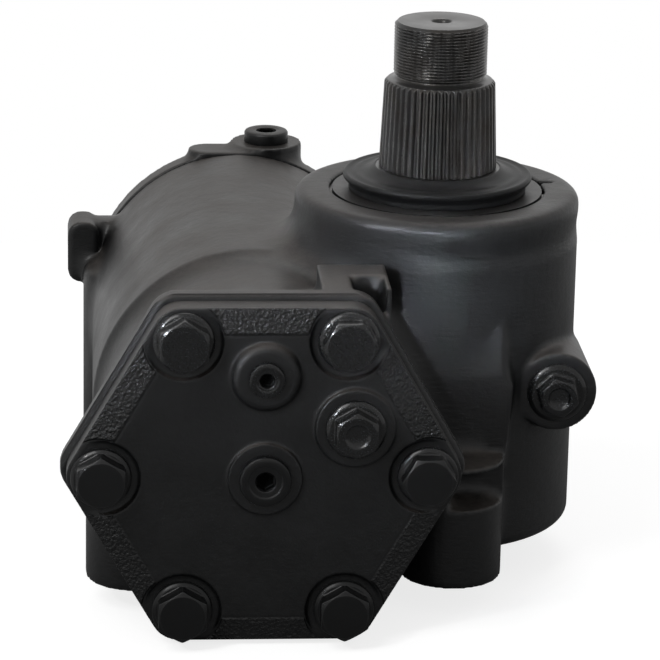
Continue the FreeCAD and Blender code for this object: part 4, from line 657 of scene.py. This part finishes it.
limiterLook = {
    "acrossFlats": 19.0, "height": 11.6, "cone": 8.9, "fall": 0.6, "base": 3.2, "fillet": 1.1, "bevel": 0.25,
    "face": [(0.0, 1.15), (4.2, 1.1), (4.9, 0.85), (5.4, 0.35), (5.8, 0.05), (6.2, 0.0), (8.4, 0.0)],
    "skirt": [(12.0, 3.2), (12.7, 2.8), (13.3, 2.3), (13.65, 2.0), (13.8, 1.7), (13.8, 0.0), (0.0, 0.0)],
    "place": (41.0, 6.5, 24.5), "turn": 30.0,
}
boltRow("limiter_head", limiterLook, "limiter_adjuster",
        [(barrelAxis + limiterLook["place"], "-Y", limiterLook["turn"])], boltPaint)

sidePlugLook = {
    "acrossFlats": 17.0, "height": 10.6, "cone": 8.0, "fall": 0.6, "base": 2.9, "fillet": 1.8, "bevel": 0.25,
    "face": [(0.0, 1.5), (4.0, 1.45), (4.7, 1.1), (5.2, 0.45), (5.6, 0.05), (6.0, 0.0), (7.6, 0.0)],
    "skirt": [(12.2, 2.9), (13.0, 2.4), (13.7, 1.85), (14.1, 1.5), (14.3, 1.1), (14.3, 0.0), (0.0, 0.0)],
    "turn": 44.0,
}
boltRow("side_plug_head", sidePlugLook, "side_valve_plug",
        [(sideBossSpot, "-Y", sidePlugLook["turn"])], plugPaint)

valveBoltLook = {
    "acrossFlats": 18.0, "height": 8.0, "cone": 8.4, "fall": 0.6, "base": 0.3, "fillet": 0.5, "bevel": 0.25,
    "face": [(0.0, 0.0), (4.0, 0.0), (7.0, 0.0)],
    "skirt": [(10.2, 0.25), (10.35, 0.1), (10.35, 0.0), (0.0, 0.0)],
    "angles": range(165, 376, 42), "reach": 66.9, "seat": 318.5,
}
boltRow("valve_bolt_heads", valveBoltLook, "valve_housing_bolts", circleSpots(
    valveBoltLook["angles"], valveBoltLook["reach"], valveBoltLook["seat"], "+Y",
    lambda angle: 30.0), boltPaint)


socketLook = {"rimBeyond": 0.5, "rimEase": 0.35, "drillPoint": 0.8, "floorShare": 0.96, "floorEase": 0.3,
              "mouth": (0.6, 0.25), "darkBelow": 0.35, "darkUnder": 1.0}


# A round plug with a hexagon socket. Rows run from the socket's floor up its sides and over the collar. The
# faces down in the socket get a near-black, dull paint: a painted shade for the recess.
def socketPlug(name, axis, look, node, finish):
    place = barrelAxis + look["place"]
    angle = np.linspace(0, 2 * np.pi, headLook["columns"], endpoint=False)[None, :]
    hexagon = hexReach(angle, look["socket"], look["turn"])
    rim = look["socket"] / math.sqrt(3.0) + socketLook["rimBeyond"]
    top, floor = look["height"] - look["dish"], look["height"] - look["depth"]
    low, high = socketLook["mouth"]
    rows = [(0.0, floor - socketLook["drillPoint"]), (hexagon * socketLook["floorShare"], floor),
            (hexagon, floor + socketLook["floorEase"]), (hexagon, top - low),
            (np.maximum(hexagon, rim - socketLook["rimEase"]), top - high), (rim, top)]
    piece = turnedRows(name, rows + look["collar"], angle, place, axis, look["bevel"])
    piece.data.materials.append(finish)
    piece.data.materials.append(socketPaintedShade)
    centres = np.empty(len(piece.data.polygons) * 3)
    piece.data.polygons.foreach_get("center", centres)
    away = centres.reshape(-1, 3) / mm - place
    deep = away[:, 2] if axis == "+Z" else -away[:, 1]
    inside = np.linalg.norm(away, axis=1) ** 2 - deep ** 2 < rim ** 2
    sunk = inside & (deep < top - socketLook["darkBelow"]) & (deep > floor - socketLook["darkUnder"])
    piece.data.polygons.foreach_set("material_index", sunk.astype(np.int32))
    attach(piece, "housing")
    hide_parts(node)


centrePlugLook = {
    "place": (0.0, 7.0, 0.0),
    "socket": 8.0, "turn": 30.0, "height": 4.0, "dish": 0.5, "depth": 5.0, "bevel": 0.25,
    "collar": [(7.4, 3.5), (8.0, 3.95), (8.4, 4.0), (10.9, 4.0), (11.6, 3.7), (11.9, 3.0), (11.9, 0.0),
               (9.0, 0.0), (9.0, -11.0), (0.0, -11.0)],
}
socketPlug("centre_plug_head", "-Y", centrePlugLook, "centre_plug", plugPaint)

bleedPlugLook = {
    "place": (0.0, 4.5, 49.0),
    "socket": 6.0, "turn": 0.0, "height": 3.0, "dish": 0.3, "depth": 4.0, "bevel": 0.2,
    "collar": [(4.9, 2.7), (5.3, 2.95), (5.6, 3.0), (7.2, 3.0), (7.9, 2.7), (8.2, 2.0), (8.2, 0.0),
               (5.0, 0.0), (5.0, -11.0), (0.0, -11.0)],
}
socketPlug("bleed_plug_head", "-Y", bleedPlugLook, "bleed_plug", plugPaint)

portPlugLook = {
    "place": (16.0, 323.7, 79.0),
    "socket": 9.0, "turn": 0.0, "height": 6.3, "dish": 0.3, "depth": 5.0, "bevel": 0.25,
    "collar": [(6.4, 6.0), (7.0, 6.25), (7.4, 6.3), (9.9, 6.3), (11.0, 5.9), (11.6, 5.0), (11.6, 0.0),
               (8.8, 0.0), (8.8, -13.9), (0.0, -13.9)],
}
socketPlug("port_plug_head", "+Z", portPlugLook, "port_plug", portPaint)
print("screws and plugs made")

shaftLook = {
    "splineTeeth": 48, "samplesPerTooth": 10, "splineLow": 113.3, "splineHigh": 156.0, "lowRadius": 28.5,
    "highRadius": 26.7, "toothDepth": 1.35, "crest": 0.13, "flank": 0.26, "endCone": 1.0,
    "rows": ((2.0, 16), (1.7, 8)), "splineFoot": [(0.0, 112.3), (26.5, 112.3)], "splineSharp": 32.0,
    "threadPitch": 1.5, "threadDepth": 0.85, "threadLow": 158.2, "threadHigh": 184.5, "threadRadius": 22.5,
    "rowsPerTurn": 10, "threadColumns": 128, "ridgeSlope": 2.6, "ridgeFlat": 0.15,
    "reliefRadius": 21.3, "topRadius": 20.9, "threadFoot": [(0.0, 157.9), (21.3, 157.9)], "threadSharp": 40.0,
    "cutHeight": 112.8,
    "shoulder": [(24.6, 156.25), (23.6, 156.4), (22.6, 156.7), (21.8, 157.2), (21.35, 157.8), (21.3, 158.4),
                 (0.0, 158.4)],
    "crown": [(20.6, 184.45), (20.2, 184.5), (5.6, 184.5), (4.9, 184.2), (4.3, 183.4), (3.4, 181.6),
              (0.0, 179.6)],
}


# One on the teeth, nought between them, sloping over the flanks.
def toothWave(angle, teeth, look):
    wave = np.abs(np.mod(angle * teeth / (2 * np.pi), 1.0) - 0.5)            # nought in a tooth's middle
    return np.clip((look["crest"] + look["flank"] - wave) / look["flank"], 0.0, 1.0)


# Heights of rows in two runs, the second at the upper end. Each starts at a distance below the end.
def rowHeights(look, low, high):
    (far, some), (near, more) = look["rows"]
    return np.concatenate([np.linspace(low, high - far, some), np.linspace(high - near, high, more)])[:, None]


# Rows up the taper. The radius is the root plus the tooth height times a trapezoid wave of the angle, and it
# never leaves the cone that bevels the upper tooth ends.
def splineGrid(look):
    teeth = look["splineTeeth"]
    angle = np.linspace(0, 2 * np.pi, teeth * look["samplesPerTooth"], endpoint=False)[None, :]
    height = rowHeights(look, look["splineLow"], look["splineHigh"])
    share = (height - look["splineLow"]) / (look["splineHigh"] - look["splineLow"])
    outer = look["lowRadius"] + (look["highRadius"] - look["lowRadius"]) * share
    radius = outer - look["toothDepth"] * (1.0 - toothWave(angle, teeth, look))
    cone = look["highRadius"] - look["toothDepth"] + (look["splineHigh"] - height) * look["endCone"]
    return np.minimum(radius, cone), angle, height


# Rows up the thread. The radius swings with height less the helix's rise, and both ends are bevelled.
def threadGrid(look):
    angle = np.linspace(0, 2 * np.pi, look["threadColumns"], endpoint=False)[None, :]
    turns = (look["threadHigh"] - look["threadLow"]) / look["threadPitch"]
    height = np.linspace(look["threadLow"], look["threadHigh"], int(turns * look["rowsPerTurn"]))[:, None]
    phase = np.mod(height / look["threadPitch"] - angle / (2 * np.pi), 1.0)
    ridge = np.clip(np.abs(phase - 0.5) * look["ridgeSlope"] - look["ridgeFlat"], 0.0, 1.0)
    radius = look["threadRadius"] - look["threadDepth"] * ridge
    bevel = np.minimum(look["topRadius"] + look["threadHigh"] - height,
                       look["reliefRadius"] + height - look["threadLow"])
    return np.minimum(radius, bevel), angle, height


# The grid's rows between flat rings, which close it at both ends.
def shaftPart(name, rings, below, above, degrees, place=towerAxis, axis="+Z"):
    radius, angle, height = rings
    column = angle + 0 * radius[:1]

    def ring(reach, level):
        return mapped(np.full_like(column, reach), column, np.full_like(column, level), place, axis)

    middle = mapped(radius, angle + 0 * radius, height + 0 * radius, place, axis)
    rows = [ring(*spot) for spot in below] + [middle] + [ring(*spot) for spot in above]
    part = addPiece(name, gridMesh(name, np.concatenate(rows)))
    shadeByAngle(part, degrees)
    return part


# The CAD solid up to a plane, closed there again.
def cutSolid(name, node, place, way):
    part = addPiece(name, nodes[node].data.copy())
    work = bmesh.new()
    work.from_mesh(part.data)
    bmesh.ops.remove_doubles(work, verts=work.verts, dist=1e-6)
    cut = bmesh.ops.bisect_plane(work, geom=work.verts[:] + work.edges[:] + work.faces[:], dist=1e-7,
                                 plane_co=Vector(place) * mm, plane_no=way, clear_outer=True)
    bmesh.ops.holes_fill(work, edges=[e for e in cut["geom_cut"] if isinstance(e, bmesh.types.BMEdge)])
    work.to_mesh(part.data)
    work.free()
    part.data.materials.clear()
    shadeByAngle(part)
    return part


# The CAD shaft up to the boot, then the taper's splines and the thread worked out above it.
def outputShaft(look):
    spline = shaftPart("spline", splineGrid(look), look["splineFoot"], look["shoulder"], look["splineSharp"])
    screw = shaftPart("screw", threadGrid(look), look["threadFoot"], look["crown"], look["threadSharp"])
    lower = cutSolid("lower", "sector_shaft", (0, 0, towerAxis[2] + look["cutHeight"]), (0, 0, 1))
    return joinMeshes("output_shaft", [lower, spline, screw])


shaft = outputShaft(shaftLook)
shaft.data.materials.append(shaftSteel)
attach(shaft, "sector_shaft")
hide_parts("sector_shaft")

inputLook = {"teeth": 36, "samplesPerTooth": 8, "low": 235.6, "high": 266.0, "rows": ((2.6, 8), (2.4, 9)),
             "outerRadius": 12.5, "toothDepth": 0.7, "crest": 0.12, "flank": 0.24, "endRadius": 10.9,
             "foot": [(0.0, 235.6), (11.0, 235.6)], "sharp": 32.0, "cut": 236.0,
             "crown": [(10.6, 266.0), (3.4, 266.0), (3.0, 265.7), (1.2, 263.4), (0.0, 263.0)]}


# Straight serrations for the column's yoke, in rows along the input shaft, with the end bevelled.
def serrationGrid(look):
    angle = np.linspace(0, 2 * np.pi, look["teeth"] * look["samplesPerTooth"], endpoint=False)[None, :]
    height = rowHeights(look, look["low"], look["high"])
    radius = look["outerRadius"] - look["toothDepth"] * (1.0 - toothWave(angle, look["teeth"], look))
    return np.minimum(radius + 0 * height, look["endRadius"] + look["high"] - height), angle, height


# The CAD shaft up to the serrations, then these along the cylinder axis.
def serratedShaft(look):
    serrated = shaftPart("serrations", serrationGrid(look), look["foot"], look["crown"], look["sharp"],
                         (barrelAxis[0], 0.0, barrelAxis[2]), "+Y")
    inner = cutSolid("inner_end", "input_shaft", (0, look["cut"], 0), (0, 1, 0))
    return joinMeshes("input_shaft_serrated", [inner, serrated])


inputShaft = serratedShaft(inputLook)
inputShaft.data.materials.append(innerSteel)
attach(inputShaft, "input_shaft")
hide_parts("input_shaft")

bootLook = [      # the section: each corner's radius, height above the cylinder axis, and ease
    (30.05, 101.9), (43.0, 101.9, 0.4), (43.0, 104.4, 0.8), (44.4, 106.2, 1.0), (45.8, 107.6, 1.0),
    (45.8, 109.2, 0.7), (44.6, 110.1, 0.7), (43.0, 109.5, 0.6), (41.6, 109.4, 0.8), (39.5, 110.1, 1.5),
    (36.5, 110.0, 2.0), (33.0, 111.4, 2.0), (30.8, 113.0, 0.5), (30.05, 113.1, 0.2)]
boot = lathe("boot", bootLook, towerAxis, "+Z", 192)
boot.data.materials.append(bootRubber)
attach(boot, "sector_shaft")
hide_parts("dust_boot")
print("shafts and boot made")

# The rest shows its CAD solid. What isn't named here is bright steel.
keptFinish = {
    "side_cover": seatPaint, "bearing_cover": seatPaint, "side_cover_screws": boltPaint,
    "adjusting_screw": ringSteel, "adjuster_lock_nut": boltPaint, "snap_ring": ringSteel,
    "input_dust_cap": sealRubber, "cover_seal_ring": sealRubber, "side_cover_seal": sealRubber,
    "shaft_seal": sealRubber, "valve_housing_seal": sealRubber, "input_seal": sealRubber,
    "piston_ring": sealPlastic, "sleeve_seal_rings": sealPlastic,
}
for name, node in nodes.items():
    node.data.materials.clear()
    node.data.materials.append(keptFinish.get(name, innerSteel))

# The floor's edges are in millimetres.
studio = {"floor": -13.2, "left": -210.0, "right": 1100.0, "front": -1400.0, "back": 520.0,
          "floorShade": 0.34, "floorGlow": 0.79, "around": 0.45}
lamps = {    # place, what it faces, size in millimetres, watts, colour, spread in degrees
    "key": ((-900, -1100, 1700), (0, 0, 80), 900, 14.0, (1.0, 1.0, 1.0), 180.0),
    "top": ((300, 900, 1800), (0, 0, 80), 1100, 9.0, (1.0, 1.0, 1.0), 180.0),
    "glint": ((-1300, -1300, 1370), (0, -100, 70), 210, 10.0, (1.0, 1.0, 1.0), 180.0),
    "kicker": ((-800, -880, 560), (60, -92, 160), 200, 0.14, (0.84, 0.90, 1.0), 9.0),
    "sheen": ((-215, -1456, 365), (84, -98, 146), 70, 0.035, (0.84, 0.90, 1.0), 4.2),
}


# An area lamp that faces a target, both in millimetres.
def addLamp(name, place, target, size, power, colour, spread):
    light = bpy.data.lights.new(name, "AREA")
    light.shape = "DISK"
    light.size = size * mm
    light.energy = power
    light.color = colour
    light.spread = math.radians(spread)
    lamp = bpy.data.objects.new(name, light)
    bpy.context.scene.collection.objects.link(lamp)
    way = Vector(target) - Vector(place)
    turn = way.to_track_quat("-Z", "Y").to_matrix().to_4x4()
    lamp.matrix_world = Matrix.Translation(Vector(place) * mm) @ turn


for name, settings in lamps.items():
    addLamp(name, *settings)

# The paper is a sheet with white all round it, so what mirrors the room past its edges is paler.
sides = [(studio[x] * mm, studio[y] * mm, studio["floor"] * mm)
         for x, y in (("left", "front"), ("right", "front"), ("right", "back"), ("left", "back"))]
floorMesh = bpy.data.meshes.new("floor")
floorMesh.from_pydata(sides, [], [(0, 1, 2, 3)])
floor = addPiece("floor", floorMesh)
floorFinish = bpy.data.materials.new("floor_finish")
floorFinish.use_nodes = True
floorFinish.node_tree.nodes.clear()
paper = Finish("floor", tree=floorFinish.node_tree)
seen = paper.node("ShaderNodeLightPath", {}, {}, "Is Camera Ray")
tone = studio["floorShade"]
matt = paper.node("ShaderNodeBsdfDiffuse", {}, {"Color": (tone, tone, tone, 1.0)})
glow = paper.node("ShaderNodeEmission", {}, {"Strength": seen * studio["floorGlow"]})
mixed = paper.node("ShaderNodeAddShader", {}, {0: matt, 1: glow})
paper.node("ShaderNodeOutputMaterial", {}, {"Surface": mixed})
floorMesh.materials.append(floorFinish)

world = bpy.data.worlds.new("studio_world")
world.use_nodes = True
bpy.context.scene.world = world
sky = Finish("world", tree=world.node_tree)
background = world.node_tree.nodes["Background"]
background.inputs["Color"].default_value = (1.0, 1.0, 1.0, 1.0)
rays = sky.node("ShaderNodeLightPath", {}, {}, "Is Camera Ray")
shiny = Wire(sky, rays.socket.node.outputs["Is Glossy Ray"])
through = Wire(sky, rays.socket.node.outputs["Is Transmission Ray"])
both = sky.node("ShaderNodeMath", {"operation": "MAXIMUM"}, {0: rays, 1: shiny})
either = sky.node("ShaderNodeMath", {"operation": "MAXIMUM"}, {0: both, 1: through})
sky.feed(background.inputs["Strength"], either * (1.0 - studio["around"]) + studio["around"])

# The camera stands where the photo was taken, worked out from points of known size on the object.
# Its place is in millimetres and its angles are in radians.
cameraLook = {"place": (-109.67, -1745.36, 632.54), "yaw": 0.075734, "pitch": 0.300347, "roll": 0.020251,
              "lens": 200.29, "sensor": 36.0, "farthest": 20.0}
yaw, pitch, roll = cameraLook["yaw"], cameraLook["pitch"], cameraLook["roll"]
forward = Vector((math.sin(yaw) * math.cos(pitch), math.cos(yaw) * math.cos(pitch), -math.sin(pitch)))
side = Vector((math.cos(yaw), -math.sin(yaw), 0.0))
turned = side * math.cos(roll) + side.cross(forward) * math.sin(roll)
camera = bpy.data.objects.new("camera", bpy.data.cameras.new("camera"))
bpy.context.scene.collection.objects.link(camera)
camera.data.lens = cameraLook["lens"]
camera.data.sensor_width = cameraLook["sensor"]
camera.data.clip_end = cameraLook["farthest"]
basis = Matrix((turned, turned.cross(forward), -forward)).transposed().to_4x4()
camera.matrix_world = Matrix.Translation(Vector(cameraLook["place"]) * mm) @ basis
bpy.context.scene.camera = camera
bpy.context.scene.view_settings.view_transform = "Standard"
print("studio made")
